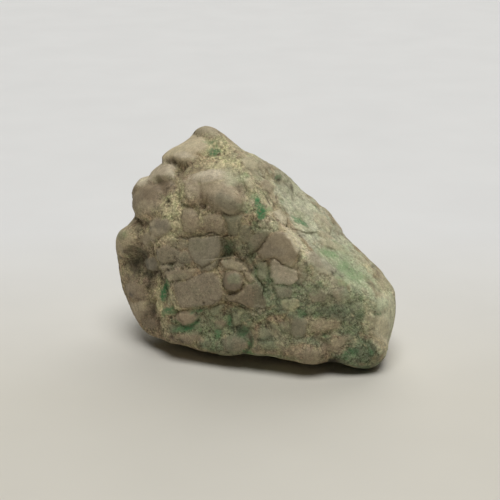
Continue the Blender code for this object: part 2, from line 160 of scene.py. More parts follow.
# Dim brown: painted shade on the front of the upper left block, along the shadow line by the hollow and
# along the low edge; also the colour of two dark clasts.
SHADOW_DUSK = (0.265, 0.215, 0.145)
# Dark olive: the olive's own colour darkened by painted shade, under the big cobble, beside the hollow and
# along the turned-under lower edge.
SHADE_OLIVE = (0.225, 0.22, 0.135)
HOLLOW = (0.19, 0.20, 0.125)
CHALK = (0.64, 0.63, 0.43)
LICHEN = (0.34, 0.365, 0.24)
DRAB = (0.33, 0.32, 0.205)
SLATE = (0.265, 0.24, 0.16)
FAWN = (0.45, 0.37, 0.245)
CLAY = (0.37, 0.26, 0.155)
# Pale pearl: painted light on the lit tops of the upper blocks, the big cobble and the head's lower front;
# also the own colour of one pale clast.
LIT_PEARL = (0.62, 0.54, 0.395)
ASH = (0.42, 0.385, 0.285)
# Pale ivory: painted light on the right crest's lower facet and in the shadow under the big cobble's left
# lobe; along the long crest it is partly the cream vein's own colour and partly painted light.
LIT_IVORY = (0.78, 0.70, 0.50)
FOOT_SHADE = (0.06, 0.052, 0.034)

# Zones of the matrix: right, down, half length, half width, turn in degrees, colour. A few paint shade: the
# brown band under the upper left brow, the dark brown low on the left lump and the dark olive beside the
# hollow.
ZONES = (
    (262, 176, 46, 24, -35, WHEAT), (207, 133, 16, 10, 0, TAN), (216, 149, 14, 15, 0, STRAW),
    (224, 163, 24, 6, 0, STRAW), (232, 177, 14, 9, -20, WHEAT), (250, 201, 8, 17, 5, WHEAT),
    (276, 172, 16, 9, -35, UMBER), (305, 212, 52, 15, -52, SLOPE), (330, 234, 34, 13, -48, SLOPE),
    (310, 238, 20, 7, -52, SLOPE), (349, 268, 34, 17, -38, SAGE), (384, 312, 15, 34, 0, CHALK),
    (386, 280, 10, 14, -30, WHEAT), (172, 210, 12, 32, 0, STRAW), (148, 205, 17, 24, 0, FAWN),
    (163, 190, 13, 8, 10, BROWN), (198, 222, 18, 12, 0, UMBER), (246, 222, 18, 10, 0, UMBER),
    (228, 248, 11, 13, 0, HOLLOW), (246, 252, 11, 11, 0, SHADE_OLIVE), (262, 226, 15, 6, 0, OLIVE),
    (126, 240, 14, 18, 0, SAND), (138, 262, 13, 20, 0, EARTH), (151, 277, 9, 14, 0, EARTH),
    (137, 292, 12, 18, 0, BROWN), (141, 313, 18, 14, 0, CLAY), (155, 314, 8, 15, 0, SHADE_BROWN),
    (160, 296, 7, 20, 8, CREAM), (172, 265, 14, 20, 0, MAUVE), (266, 284, 13, 24, 0, MOSS),
    (292, 298, 20, 17, 0, MOSS), (322, 279, 26, 10, 18, LICHEN), (334, 304, 36, 19, 0, LICHEN),
    (312, 311, 24, 9, 0, MOSS), (250, 315, 26, 11, 0, OLIVE), (200, 326, 36, 17, 0, OLIVE),
    (242, 332, 14, 11, 0, DARK_MOSS), (185, 338, 22, 7, -10, BROWN), (214, 345, 20, 8, 0, MOSS),
    (276, 338, 26, 16, 0, DRAB), (320, 328, 26, 11, 0, WHEAT), (310, 352, 26, 11, 0, PINK),
    (350, 330, 11, 11, 0, MOSS), (358, 354, 26, 15, 0, DARK_MOSS), (383, 345, 7, 13, 30, CHALK),
)

# Touches of colour over matrix and clasts alike: as a zone, with a strength. Many are painted light and
# shade: the lit tops of the upper blocks and the crest, the shaded brow and front faces, the shaded low
# edges and the painted shadow in the notch under the right foot.
TOUCHES = (
    (236, 180, 14, 8, -20, SAGE, 0.4), (227, 202, 16, 8, -16, SLATE, 0.8), (206, 177, 17, 7, 8, LIT_PEARL, 1.0),
    (203, 199, 6, 8, 0, BROWN, 0.8), (142, 181, 11, 6, 30, LIT_PEARL, 1.0), (163, 171, 11, 7, 20, LILAC, 0.9),
    (162, 189, 11, 4, 4, SHADE_BROWN, 0.8), (144, 202, 10, 13, 0, SHADOW_DUSK, 0.8), (155, 194, 10, 11, 20, SHADE_BROWN, 0.8),
    (173, 176, 4, 8, 0, LIT_PEARL, 0.7), (166, 155, 4, 6, 0, UMBER, 0.6), (185, 151, 16, 5, 25, ROSE, 0.5),
    (203, 160, 10, 5, 0, TAN, 0.6), (187, 159, 7, 3, 10, LIT_PEARL, 0.8), (284, 242, 9, 12, 20, PINK, 0.6),
    (273, 252, 12, 5, 0, MAUVE, 0.5), (285, 268, 10, 5, -20, PALE, 0.5), (236, 278, 6, 5, 0, OLIVE, 0.6),
    (232, 288, 6, 3, 0, SHADE_BROWN, 0.5), (160, 228, 9, 7, 0, GREY, 0.5), (124, 234, 8, 5, 0, KHAKI, 0.5),
    (344, 249, 9, 3, -45, KHAKI, 0.6), (365, 262, 14, 4, -38, LINEN, 0.5),
    (296, 240, 16, 4, -50, LINEN, 0.6), (280, 214, 9, 5, -45, ROSE, 0.5), (382, 340, 8, 4, -35, LINEN, 0.7),
    (366, 312, 3, 22, 3, CHALK, 0.9), (381, 342, 10, 5, -50, LIT_IVORY, 1.0), (357, 318, 5, 14, 0, LICHEN, 0.5),
    (372, 350, 6, 5, -50, DARK_MOSS, 0.8), (340, 346, 12, 4, 5, PINK, 0.5), (322, 324, 9, 5, 0, PINK, 0.5),
    (168, 338, 5, 4, 0, PINK, 0.6), (296, 243, 34, 5, -56, LIT_IVORY, 0.7), (330, 296, 26, 9, 6, LILAC, 0.3),
    (354, 296, 14, 8, 0, LICHEN, 0.6), (332, 362, 9, 5, 0, FOOT_SHADE, 1.0),
    (352, 358, 8, 6, 0, LICHEN, 0.5), (278, 300, 12, 14, 0, LICHEN, 0.35), (325, 326, 18, 5, 3, PINK, 0.4),
    (142, 305, 9, 5, 10, SAND, 0.7), (143, 320, 9, 5, 0, PINK, 0.4), (340, 313, 20, 6, 0, DARK_MOSS, 0.7),
    (284, 180, 15, 9, -50, DRAB, 0.5), (301, 217, 9, 6, -45, KHAKI, 0.5), (307, 268, 12, 8, -50, SAGE, 0.5),
    (318, 277, 14, 7, 12, LINEN, 0.7), (334, 282, 11, 6, 0, LINEN, 0.7), (355, 301, 10, 10, 0, SAGE, 0.6),
    (170, 290, 4, 14, -14, ROSE, 0.7), (170, 304, 5, 6, 0, STRAW, 0.5), (274, 312, 9, 5, 0, MOSS, 0.6),
    (220, 334, 11, 8, 0, OLIVE, 0.8), (198, 331, 9, 5, 0, OLIVE, 0.8), (312, 340, 20, 5, 0, LICHEN, 0.9),
    (246, 206, 8, 6, 0, KHAKI, 0.5), (257, 201, 5, 8, 10, LINEN, 0.5), (308, 228, 7, 3, -40, KHAKI, 0.5),
    (232, 356, 34, 5, -3, SHADE_OLIVE, 1.0), (272, 358, 20, 4, -5, OLIVE, 0.9),
    (264, 340, 12, 4, 0, DARK_MOSS, 0.7), (180, 340, 8, 4, 0, SHADOW_DUSK, 0.8),
    (211, 340, 9, 4, 0, DARK_MOSS, 0.6), (268, 223, 9, 8, 0, LINEN, 0.9), (270, 204, 4, 6, 20, LINEN, 0.8),
    (155, 238, 14, 11, 0, SAND, 0.6), (123, 268, 8, 10, 0, TAN, 0.9), (258, 310, 9, 6, 0, ASH, 0.8),
    (296, 267, 12, 5, 0, ROSE, 0.6), (320, 334, 6, 8, 0, ROSE, 0.8), (240, 188, 5, 5, 0, LILAC, 0.6),
    (297, 228, 9, 5, -50, LINEN, 0.6), (200, 245, 15, 5, 4, SLATE, 0.8), (184, 204, 4, 4, 0, LIT_IVORY, 0.5),
    (174, 257, 18, 10, 0, SLATE, 0.6), (152, 284, 8, 6, 0, SHADE_BROWN, 0.8), (184, 275, 7, 4, 0, SLATE, 0.6),
    (262, 243, 14, 8, -30, SHADOW_DUSK, 0.6), (238, 258, 8, 3, 0, SHADOW_DUSK, 0.8), (184, 326, 8, 3, 0, MOSS, 0.6),
    (176, 308, 7, 4, 0, CREAM, 0.8), (160, 300, 3, 14, 8, CREAM, 0.7), (354, 340, 7, 4, 0, MOSS, 0.5),
    (342, 350, 12, 4, 5, PINK, 0.7), (172, 300, 4, 8, 0, CHALK, 0.5), (154, 322, 11, 12, 0, SHADE_BROWN, 0.6),
    (150, 215, 14, 12, 0, SAND, 0.5), (140, 240, 12, 10, 0, FAWN, 0.5),
)

# Broken clasts standing proud: rise in mm, colour, corners and, where it tilts, slopes right and down.
CLASTS = (
    (1.8, SAND, ((158, 157), (163, 149), (172, 144), (184, 137), (192, 134), (203, 137), (208, 143),
        (206, 150), (199, 157), (193, 162), (187, 165), (181, 165), (174, 162), (166, 165)), 0.0, 0.09),
    (0.3, PALE, ((195, 128), (205, 125), (219, 130), (222, 136), (208, 136), (198, 136))),
    (1.1, ROSE, ((148, 180), (153, 170), (162, 163), (171, 163), (176, 171), (177, 180), (168, 180),
        (160, 180), (153, 183)), 0.0, 0.03),
    (0.3, BROWN, ((133, 184), (139, 176), (148, 174), (152, 178), (150, 190), (146, 207), (141, 219),
        (134, 216), (131, 200))),
    (0.2, LILAC, ((184, 192), (187, 183), (192, 175), (201, 170), (212, 169), (224, 172), (236, 181),
        (244, 191), (248, 202), (245, 211), (232, 215), (217, 213), (207, 209), (200, 199), (188, 199))),
    (0.4, TAN, ((117, 232), (125, 228), (133, 232), (135, 242), (130, 250), (122, 258), (116, 253))),
    (0.8, PALE, ((145, 234), (150, 231), (158, 236), (157, 241), (149, 247), (143, 240))),
    (0.7, MAUVE, ((152, 222), (159, 219), (170, 220), (174, 228), (169, 235), (158, 237), (151, 232))),
    (0.5, PINK, ((184, 211), (192, 208), (198, 214), (199, 227), (193, 234), (185, 231), (183, 220))),
    (0.4, PINK, ((204, 218), (212, 215), (221, 216), (225, 225), (229, 233), (218, 235), (207, 231),
        (203, 226))),
    (0.5, SHADE_OLIVE, ((223, 215), (232, 216), (242, 215), (241, 227), (238, 236), (230, 237),
        (227, 226))),
    (0.4, SHADE_OLIVE, ((240, 225), (250, 226), (252, 237), (247, 244), (239, 240))),
    (0.7, GREY, ((189, 239), (205, 238), (221, 236), (222, 247), (220, 256), (204, 268), (196, 262),
        (190, 252))),
    (0.4, PALE, ((180, 243), (185, 241), (189, 244), (187, 249), (181, 249))),
    (0.4, MAUVE, ((177, 251), (189, 251), (195, 259), (191, 263), (179, 262))),
    (0.6, BROWN, ((160, 250), (170, 245), (177, 250), (177, 261), (166, 263), (160, 259))),
    (0.5, PALE, ((160, 264), (172, 265), (173, 269), (164, 270))),
    (0.5, PINK, ((167, 271), (180, 269), (197, 269), (191, 278), (180, 280), (171, 280))),
    (0.4, GREY, ((196, 264), (203, 268), (213, 263), (219, 258), (220, 263), (212, 270), (201, 271))),
    (0.5, MAUVE, ((176, 285), (186, 280), (203, 272), (214, 272), (222, 278), (225, 290), (222, 301),
        (210, 305), (196, 307), (181, 306), (177, 296))),
    (0.5, PALE, ((221, 261), (232, 259), (241, 262), (246, 270), (238, 271), (225, 268))),
    (0.6, PINK, ((243, 271), (250, 272), (257, 279), (251, 283), (246, 280))),
    (0.9, SHADOW_DUSK, ((224, 278), (228, 272), (236, 270), (242, 274), (244, 281), (242, 287), (236, 290),
        (229, 289), (225, 284))),
    (0.5, SHADOW_DUSK, ((226, 293), (240, 291), (247, 285), (258, 283), (263, 290), (266, 300), (264, 306),
        (252, 306), (240, 301), (228, 299))),
    (0.5, DRAB, ((258, 262), (266, 262), (268, 270), (266, 279), (259, 280), (257, 270))),
    (0.5, SHADE_OLIVE, ((247, 243), (252, 235), (262, 229), (270, 230), (268, 238), (260, 246), (256, 250),
        (250, 252))),
    (0.8, PINK, ((268, 238), (274, 231), (286, 233), (292, 241), (299, 250), (295, 260), (290, 267),
        (282, 263), (275, 257), (262, 258), (258, 252), (263, 246))),
    (0.6, LIT_PEARL, ((271, 262), (275, 259), (281, 264), (290, 268), (297, 271), (297, 280), (288, 285),
        (276, 284), (270, 276))),
    (0.4, PALE, ((296, 268), (300, 262), (305, 266), (306, 278), (301, 285), (298, 280))),
    (0.5, MAUVE, ((275, 287), (284, 287), (292, 288), (291, 296), (281, 298), (276, 297))),
    (0.5, ASH, ((307, 251), (316, 252), (323, 259), (336, 266), (337, 272), (330, 276), (318, 274),
        (309, 262))),
    (0.5, ROSE, ((319, 238), (330, 238), (342, 245), (347, 250), (336, 250), (326, 247))),
    (0.4, ROSE, ((314, 212), (326, 216), (334, 226), (331, 234), (320, 227), (313, 219))),
    (0.4, SAND, ((318, 229), (330, 233), (337, 238), (326, 238), (318, 235))),
    (0.7, ROSE, ((272, 210), (280, 209), (288, 219), (287, 225), (279, 222))),
    (0.5, PINK, ((260, 181), (268, 179), (274, 187), (270, 193), (263, 189))),
    (0.5, ROSE, ((241, 161), (250, 155), (259, 162), (258, 170), (247, 169))),
    (0.4, SAND, ((244, 181), (252, 178), (256, 185), (252, 192), (246, 188))),
    (0.4, PALE, ((258, 160), (266, 161), (273, 166), (268, 170), (260, 167))),
    (0.5, PALE, ((331, 291), (344, 288), (352, 295), (347, 303), (336, 300))),
    (0.4, GREY, ((308, 292), (319, 290), (327, 296), (322, 303), (311, 300))),
    (0.3, SAGE, ((371, 302), (374, 298), (380, 296), (385, 299), (386, 306), (381, 311), (374, 310))),
    (0.4, ROSE, ((371, 322), (374, 317), (381, 315), (387, 320), (389, 331), (383, 338), (375, 334),
        (371, 328))),
    (0.9, SLATE, ((289, 326), (291, 320), (296, 316), (302, 317), (306, 322), (306, 331), (302, 336),
        (295, 337), (290, 332))),
    (0.2, DRAB, ((279, 322), (288, 321), (289, 331), (283, 333), (279, 327))),
    (0.4, STRAW, ((281, 300), (289, 298), (297, 299), (298, 306), (293, 311), (283, 309))),
    (0.3, TAN, ((308, 321), (320, 319), (332, 322), (341, 326), (330, 331), (310, 332))),
    (0.4, PINK, ((321, 344), (334, 340), (351, 335), (353, 340), (343, 346), (333, 351), (322, 350))),
    (0.4, PINK, ((299, 352), (306, 347), (318, 350), (322, 357), (317, 364), (305, 363))),
    (0.4, GREY, ((222, 341), (231, 336), (243, 338), (248, 344), (243, 352), (233, 355), (225, 352))),
    (0.4, DRAB, ((258, 331), (265, 328), (273, 332), (272, 338), (261, 341))),
    (0.4, OLIVE, ((257, 343), (272, 341), (277, 347), (264, 349))),
    (0.9, BROWN, ((179, 312), (188, 309), (195, 312), (198, 318), (193, 324), (184, 324), (178, 318))),
    (0.4, OLIVE, ((169, 323), (177, 323), (177, 331), (169, 331))),
    (0.4, PINK, ((181, 333), (195, 333), (197, 339), (190, 344), (181, 341))),
    (0.6, BROWN, ((214, 322), (221, 319), (226, 324), (222, 331), (215, 329))),
    (0.4, DRAB, ((234, 312), (242, 313), (240, 324), (234, 328), (232, 320))),
    (0.5, OLIVE, ((209, 309), (218, 303), (226, 305), (219, 315), (211, 316))),
    (0.6, PINK, ((130, 303), (144, 301), (151, 308), (147, 317), (138, 321), (132, 312))),
    (0.5, BROWN, ((125, 283), (136, 281), (146, 285), (147, 296), (139, 299), (128, 296))),
    (0.4, BROWN, ((142, 320), (156, 317), (160, 326), (150, 329), (143, 327))),
    (0.9, GREY, ((146, 261), (150, 257), (156, 257), (160, 262), (160, 268), (155, 271), (149, 269))),
)

# Ledges: rise on the left hand and drop on the right in mm, reach, then points walked along.
LEDGES = (
    (0.5, 0.8, 6, ((136, 199), (144, 193), (151, 187), (159, 182), (168, 181), (177, 183))),
    (0.2, 0.8, 5, ((172, 164), (180, 167), (189, 167), (197, 163), (204, 157), (210, 151))),
    (0.6, 0.8, 5, ((229, 236), (220, 236), (211, 233), (200, 236), (190, 238), (177, 239))),
    (0.3, 2.0, 8, ((219, 259), (221, 250), (222, 238))),
    (0.8, 1.4, 6, ((264, 291), (258, 281), (250, 271), (242, 262), (234, 257), (222, 258))),
    (0.7, 2.4, 9, ((155, 246), (159, 258), (161, 268), (165, 277), (169, 287), (172, 296), (178, 307))),
    (0.6, 0.4, 5, ((298, 272), (290, 268), (281, 264), (274, 258), (267, 261))),
    (0.3, 0.9, 6, ((178, 307), (196, 308), (212, 306), (224, 302))),
    (0.3, 0.7, 5, ((226, 300), (240, 303), (252, 308), (266, 306))),
    (0.5, 1.2, 7, ((131, 216), (140, 219), (151, 217))),
    (0.8, 1.6, 7, ((122, 261), (130, 255), (136, 247), (141, 238))),
    (0.9, 1.8, 7, ((152, 290), (153, 300), (157, 311), (161, 321), (164, 332))),
    (0.5, 1.2, 5, ((177, 323), (186, 325), (194, 324), (198, 319))),
    (0.2, 0.6, 4, ((298, 230), (306, 232), (314, 233))),
    (1.7, 0.7, 8, ((362, 288), (365, 302), (367, 322), (372, 334), (380, 341), (387, 350))),
)

# Ridges and furrows: half width, rise in mm, then points along them.
CREASES = (
    (7, 1.0, ((254, 190), (262, 203), (270, 213), (276, 223), (284, 233), (295, 249), (303, 263))),
    (13, 1.7, ((303, 262), (309, 279), (324, 290), (343, 292), (362, 296))),
    (2.5, 0.4, ((260, 192), (270, 208), (278, 222), (288, 235), (299, 251))),
    (6, 1.2, ((345, 250), (360, 261), (374, 271))),
    (4, 1.6, ((364, 288), (365, 302), (368, 325), (374, 337), (387, 351))),
    (5, -0.8, ((358, 300), (361, 325), (368, 341), (378, 352))),
    (4, -1.0, ((204, 190), (204, 197), (202, 206))),
    (6, 0.8, ((187, 190), (200, 187), (213, 186), (228, 191), (240, 200))),
    (4, -1.0, ((178, 169), (183, 172), (184, 180), (182, 190), (178, 200))),
    (5, -0.8, ((184, 207), (197, 213), (215, 213), (233, 216), (248, 210))),
    (6, -1.2, ((133, 217), (145, 226), (149, 238), (152, 250))),
    (7, -1.8, ((124, 262), (138, 258), (143, 268), (136, 276))),
    (3, -0.7, ((267, 239), (260, 248), (253, 252), (251, 262), (255, 272))),
    (4, -1.2, ((289, 181), (293, 190), (296, 198))),
    (4, -1.0, ((258, 172), (266, 177), (276, 178), (284, 184))),
    (5, -0.6, ((289, 212), (300, 221), (309, 226))), (4, -0.4, ((311, 242), (321, 249), (334, 252))),
    (4, -0.5, ((341, 236), (348, 246), (358, 255))),
    (4, 0.4, ((276, 202), (292, 218), (312, 230), (330, 240))),
    (5, -2.0, ((331, 362), (327, 348), (318, 340))), (4, -0.9, ((250, 333), (251, 344), (250, 356))),
    (5, -0.6, ((340, 302), (352, 306), (357, 320), (352, 334))),
    (4, -0.6, ((266, 322), (276, 316), (284, 318), (286, 334), (290, 344))),
    (3, -0.6, ((268, 262), (269, 276), (273, 290), (274, 304))),
    (4, -0.8, ((320, 335), (330, 335), (338, 334))),
    (4, -0.6, ((200, 308), (202, 322), (210, 334), (218, 344))),
    (4, -0.8, ((226, 312), (230, 324), (236, 332))),
    (2.5, -0.5, ((224, 273), (225, 282), (229, 290), (237, 291), (243, 287))),
)

# Pits: right, down, half width, depth in mm.
PITS = (
    (125, 262, 3.5, 1.2), (131, 273, 3, 1.2), (145, 275, 3, 1.4), (127, 282, 3, 1.0), (141, 298, 2.6, 0.9),
    (133, 309, 3, 0.8), (121, 246, 2.5, 0.8), (130, 239, 2.4, 0.8), (138, 231, 2.4, 0.7),
    (149, 290, 3, 1.2), (127, 251, 3, 1.0), (152, 262, 2.4, 0.8), (146, 318, 2.4, 0.7),
    (148, 246, 2.6, 0.9), (154, 301, 2.6, 1.2), (179, 165, 5, 1.2), (202, 205, 5, 1.6), (138, 264, 7, 2.0),
    (228, 254, 6, 1.4), (228, 244, 7, 1.0), (260, 211, 5, 0.8), (280, 180, 4, 1.2), (205, 302, 1.7, 0.9),
    (268, 327, 4, 1.2), (351, 304, 2.5, 0.8), (150, 304, 2.5, 0.9), (372, 267, 3, 0.8),
    (172, 263, 2.5, 0.9), (160, 253, 1.8, 0.9), (161, 248, 1.8, 0.7), (194, 133, 4, 1.2),
    (323, 306, 1.6, 0.6), (244, 284, 1.7, 0.7), (173, 335, 3, 0.9), (287, 226, 1.6, 0.7),
    (157, 272, 4, 1.2), (133, 294, 3, 0.8), (170, 269, 2.2, 0.8), (182, 279.5, 2, 0.6),
    (168, 202, 2.5, 0.8),
)

# Fibres on the long slope: their way, right and down, and their length and width.
FIBRE_WAY = (0.64, 0.77)
FIBRE_SIZE = (14.0, 1.5)

# Feet of the underside: ground place right and back, reach and drop in mm.
FEET = ((-20.0, 4.0, 12.0, 3.4), (27.0, -6.0, 14.0, 4.6))

# Patches of colour: right, down, half length, half width, turn in degrees, strength.
GREEN_SPOTS = (
    (214, 150, 7, 6, 10, 0.85), (212, 139, 5, 3, -20, 0.5), (216, 145, 2, 5, 0, 0.6),
    (261, 211, 6, 9, 0, 1.2), (258, 202, 3, 7, 12, 1.1), (246, 210, 2.5, 4, 0, 0.6),
    (278, 178, 4, 3, 0, 0.6), (283, 203, 4, 6, 25, 0.5), (300, 221, 12, 3, -28, 0.9),
    (316, 208, 5, 4, -45, 0.4), (165.5, 291, 4.5, 11, -8, 1.3), (169, 309, 6, 4, 0, 0.8),
    (164, 313, 3, 5, 0, 0.6), (186, 328, 10, 3, 0, 1.0), (193, 325, 4, 3, 0, 0.9), (194, 311, 3, 2, 0, 0.7),
    (198, 322, 3, 4, 0, 0.8), (218, 335, 4, 5, 0, 0.8), (229, 322, 3, 9, 0, 0.8), (244, 332, 7, 6, 0, 0.6),
    (251, 341, 4, 8, 0, 0.8), (248, 352, 6, 4, 0, 0.9), (229, 248, 7, 9, 0, 0.45), (270, 283, 5, 4, 0, 0.6),
    (273, 290, 3, 3, 0, 0.5), (270, 300, 4, 7, 0, 0.35), (303, 312, 9, 6, 0, 0.45),
    (362, 314, 3, 7, 0, 0.6), (377, 313, 7, 1.2, 0, 0.7), (371, 305, 1.2, 6, 0, 0.6),
    (326, 337, 6, 3, 0, 0.6), (350, 353, 12, 6, 0, 0.5), (347, 358, 7, 3, 0, 0.5), (372, 351, 5, 5, 0, 0.5),
    (365, 284, 7, 3, -20, 0.4), (199, 311, 4, 2, 0, 0.8), (310, 340, 8, 3, 0, 0.4),
    (204, 336, 7, 5, 0, 0.4), (258, 322, 5, 3, 0, 0.3), (350, 249, 8, 3, -45, 0.3),
)
PALE_GREEN_SPOTS = (
    (331, 254, 13, 4, -16, 1.0), (345, 267, 8, 6, -20, 0.95), (354, 275, 14, 8, -25, 0.85),
    (340, 277, 6, 4, 0, 0.6), (345, 284, 12, 4, 0, 0.6), (325, 284, 8, 6, 0, 0.5), (208, 143, 6, 8, 0, 0.6),
    (204, 155, 5, 3, 0, 0.4), (246, 175, 5, 4, -30, 0.5), (255, 197, 4, 9, 20, 0.5),
    (313, 208, 6, 4, -40, 0.35), (376, 305, 5, 5, 0, 0.3), (306, 305, 8, 5, 0, 0.4),
    (200, 328, 7, 6, 0, 0.5), (270, 209, 5, 5, 0, 0.4), (212, 335, 5, 6, 0, 0.4), (124, 235, 6, 4, 0, 0.35),
    (173, 310, 9, 5, 0, 0.8), (283, 208, 8, 5, -45, 0.3), (310, 290, 14, 6, 0, 0.4),
    (268, 296, 5, 10, 0, 0.35), (358, 308, 6, 4, 0, 0.35), (203, 185, 8, 4, 0, 0.3),
)
CREAM_SPOTS = (
    (168, 213, 8, 5, 10, 1.0), (176, 200, 4, 5, 0, 0.8), (180, 222, 4, 9, 0, 0.9), (169, 238, 9, 4, 5, 1.0),
    (229, 150, 4, 8, 0, 1.0), (207, 163, 7, 4, 0, 0.9), (222, 163, 10, 3, 0, 0.8), (219, 142, 4, 5, 0, 0.7),
    (205, 138, 6, 3, 0, 0.6), (181, 184, 4, 6, 0, 0.8), (236, 163, 8, 4, 0, 0.5), (202, 221, 3, 8, 0, 0.6),
    (157, 253, 1.5, 6, 0, 0.9), (235, 266, 6, 4, -20, 0.8), (158, 300, 3, 12, 4, 0.8),
    (165, 322, 2, 10, 12, 0.7), (182, 308, 7, 1.5, 0, 0.9), (174, 300, 3, 7, 0, 0.8),
    (284, 304, 4, 4, 0, 0.6), (295, 304, 3, 5, 0, 0.7), (266, 200, 2, 9, 30, 0.7),
    (274, 214, 2, 8, 15, 0.8), (282, 227, 2, 8, 35, 0.8), (292, 240, 3, 9, 38, 0.9),
    (302, 252, 3, 8, 30, 0.8), (311, 266, 2, 6, 30, 0.5), (370, 269, 9, 3, -38, 0.8),
    (358, 263, 6, 2, -38, 0.5), (366, 316, 2, 10, 0, 0.6), (383, 342, 6, 2, -35, 0.8),
    # The thin streak at (222, 182), here and among the light spots, is a painted glint.
    (217, 271, 4, 3, 0, 0.5), (168, 245, 6, 2, 0, 0.5), (222, 182, 4, 1, 20, 0.9), (246, 153, 4, 2, 0, 0.3),
    (323, 218, 4, 2, -40, 0.5), (181, 245, 3, 2, 0, 0.5), (248, 227, 3, 2, 0, 0.5),
    (256, 188, 3, 5, 30, 0.5), (388, 310, 1.5, 14, 0, 0.4), (319, 249, 5, 2, -40, 0.3),
)
# Pale specks and seams; the thin streak at (222, 182) is a painted glint.
LIGHT_SPOTS = (
    (353, 316, 1.6, 1, 0, 0.8), (312, 299, 1, 2, 0, 0.8), (252, 309, 2.2, 2.6, 0, 0.8),
    (262, 309, 2.4, 1.4, 0, 0.7), (245, 324, 1.6, 4, 28, 0.9), (295, 299, 2, 1.2, 0, 0.8),
    (357, 341, 2.6, 0.9, 0, 0.7), (354, 348, 2, 0.8, 0, 0.6), (366, 347, 3, 0.8, -10, 0.6),
    (299, 345, 2, 1, 0, 0.7), (302, 342, 2.4, 1, 0, 0.6), (308, 304, 1.6, 1.2, 0, 0.6),
    (283, 317, 1.6, 1.4, 0, 0.6), (240, 312, 2, 1.4, 0, 0.7), (248, 319, 2, 1, 0, 0.7),
    (222, 182, 3.4, 0.8, 22, 1.0), (257, 313, 0.9, 3, 0, 0.6), (235, 332, 1, 4, 0, 0.4),
    (272, 296, 1.6, 3, 0, 0.5), (264, 283, 2, 1, 0, 0.6), (216, 344, 1.6, 1.4, 0, 0.5),
    (288, 311, 1.4, 1.2, 0, 0.6), (296, 314, 1.4, 1, 0, 0.5), (164, 244, 1.4, 1.6, 0, 0.7),
    (154, 237, 2, 1, 0, 0.4), (305, 338, 1.6, 1.6, 0, 0.5), (350, 285, 2.4, 1, 30, 0.6),
    (258, 205, 1, 2, 0, 0.8), (170, 310, 2.4, 1, 20, 0.7), (238, 226, 1, 4, 0, 0.4),
)

# Lines: half width, strength, then points along them.
LIGHT_LINES = (
    (1.2, 0.9, ((155, 244), (157, 252), (160, 262), (164, 272), (168, 283), (172, 294), (176, 303))),
    (0.6, 0.4, ((176, 285), (178, 295), (180, 304))),
    (0.7, 0.6, ((178, 306), (188, 308), (200, 308), (207, 306))),
    (0.6, 0.35, ((192, 270), (203, 270), (213, 271), (221, 275), (224, 288))),
    (0.6, 0.35, ((222, 237), (222, 248), (220, 256), (212, 262), (204, 268))),
    (0.8, 0.45, ((188, 188), (199, 185), (212, 184), (220, 184))),
    (0.7, 0.4, ((171, 166), (174, 179), (179, 189))),
    (1.0, 0.7, ((363, 288), (365, 302), (367, 318), (370, 332), (378, 340), (385, 349))),
    (0.7, 0.5, ((371, 303), (374, 297), (380, 295), (386, 298), (387, 306), (382, 312))),
    (0.7, 0.4, ((370, 322), (374, 316), (382, 314), (388, 320), (390, 331), (384, 339))),
    (0.6, 0.5, ((322, 326), (335, 325), (351, 326))), (0.6, 0.4, ((326, 331), (340, 329), (352, 331))),
    (0.6, 0.5, ((209, 309), (218, 303), (226, 301))), (0.6, 0.4, ((209, 316), (219, 314), (227, 308))),
    (0.8, 0.5, ((301, 262), (308, 276), (316, 284), (330, 287))),
    (0.7, 0.4, ((243, 262), (250, 272), (255, 282))), (0.7, 0.5, ((164, 303), (166, 315), (170, 330))),
    (0.6, 0.4, ((248, 306), (256, 314), (254, 324))),
)

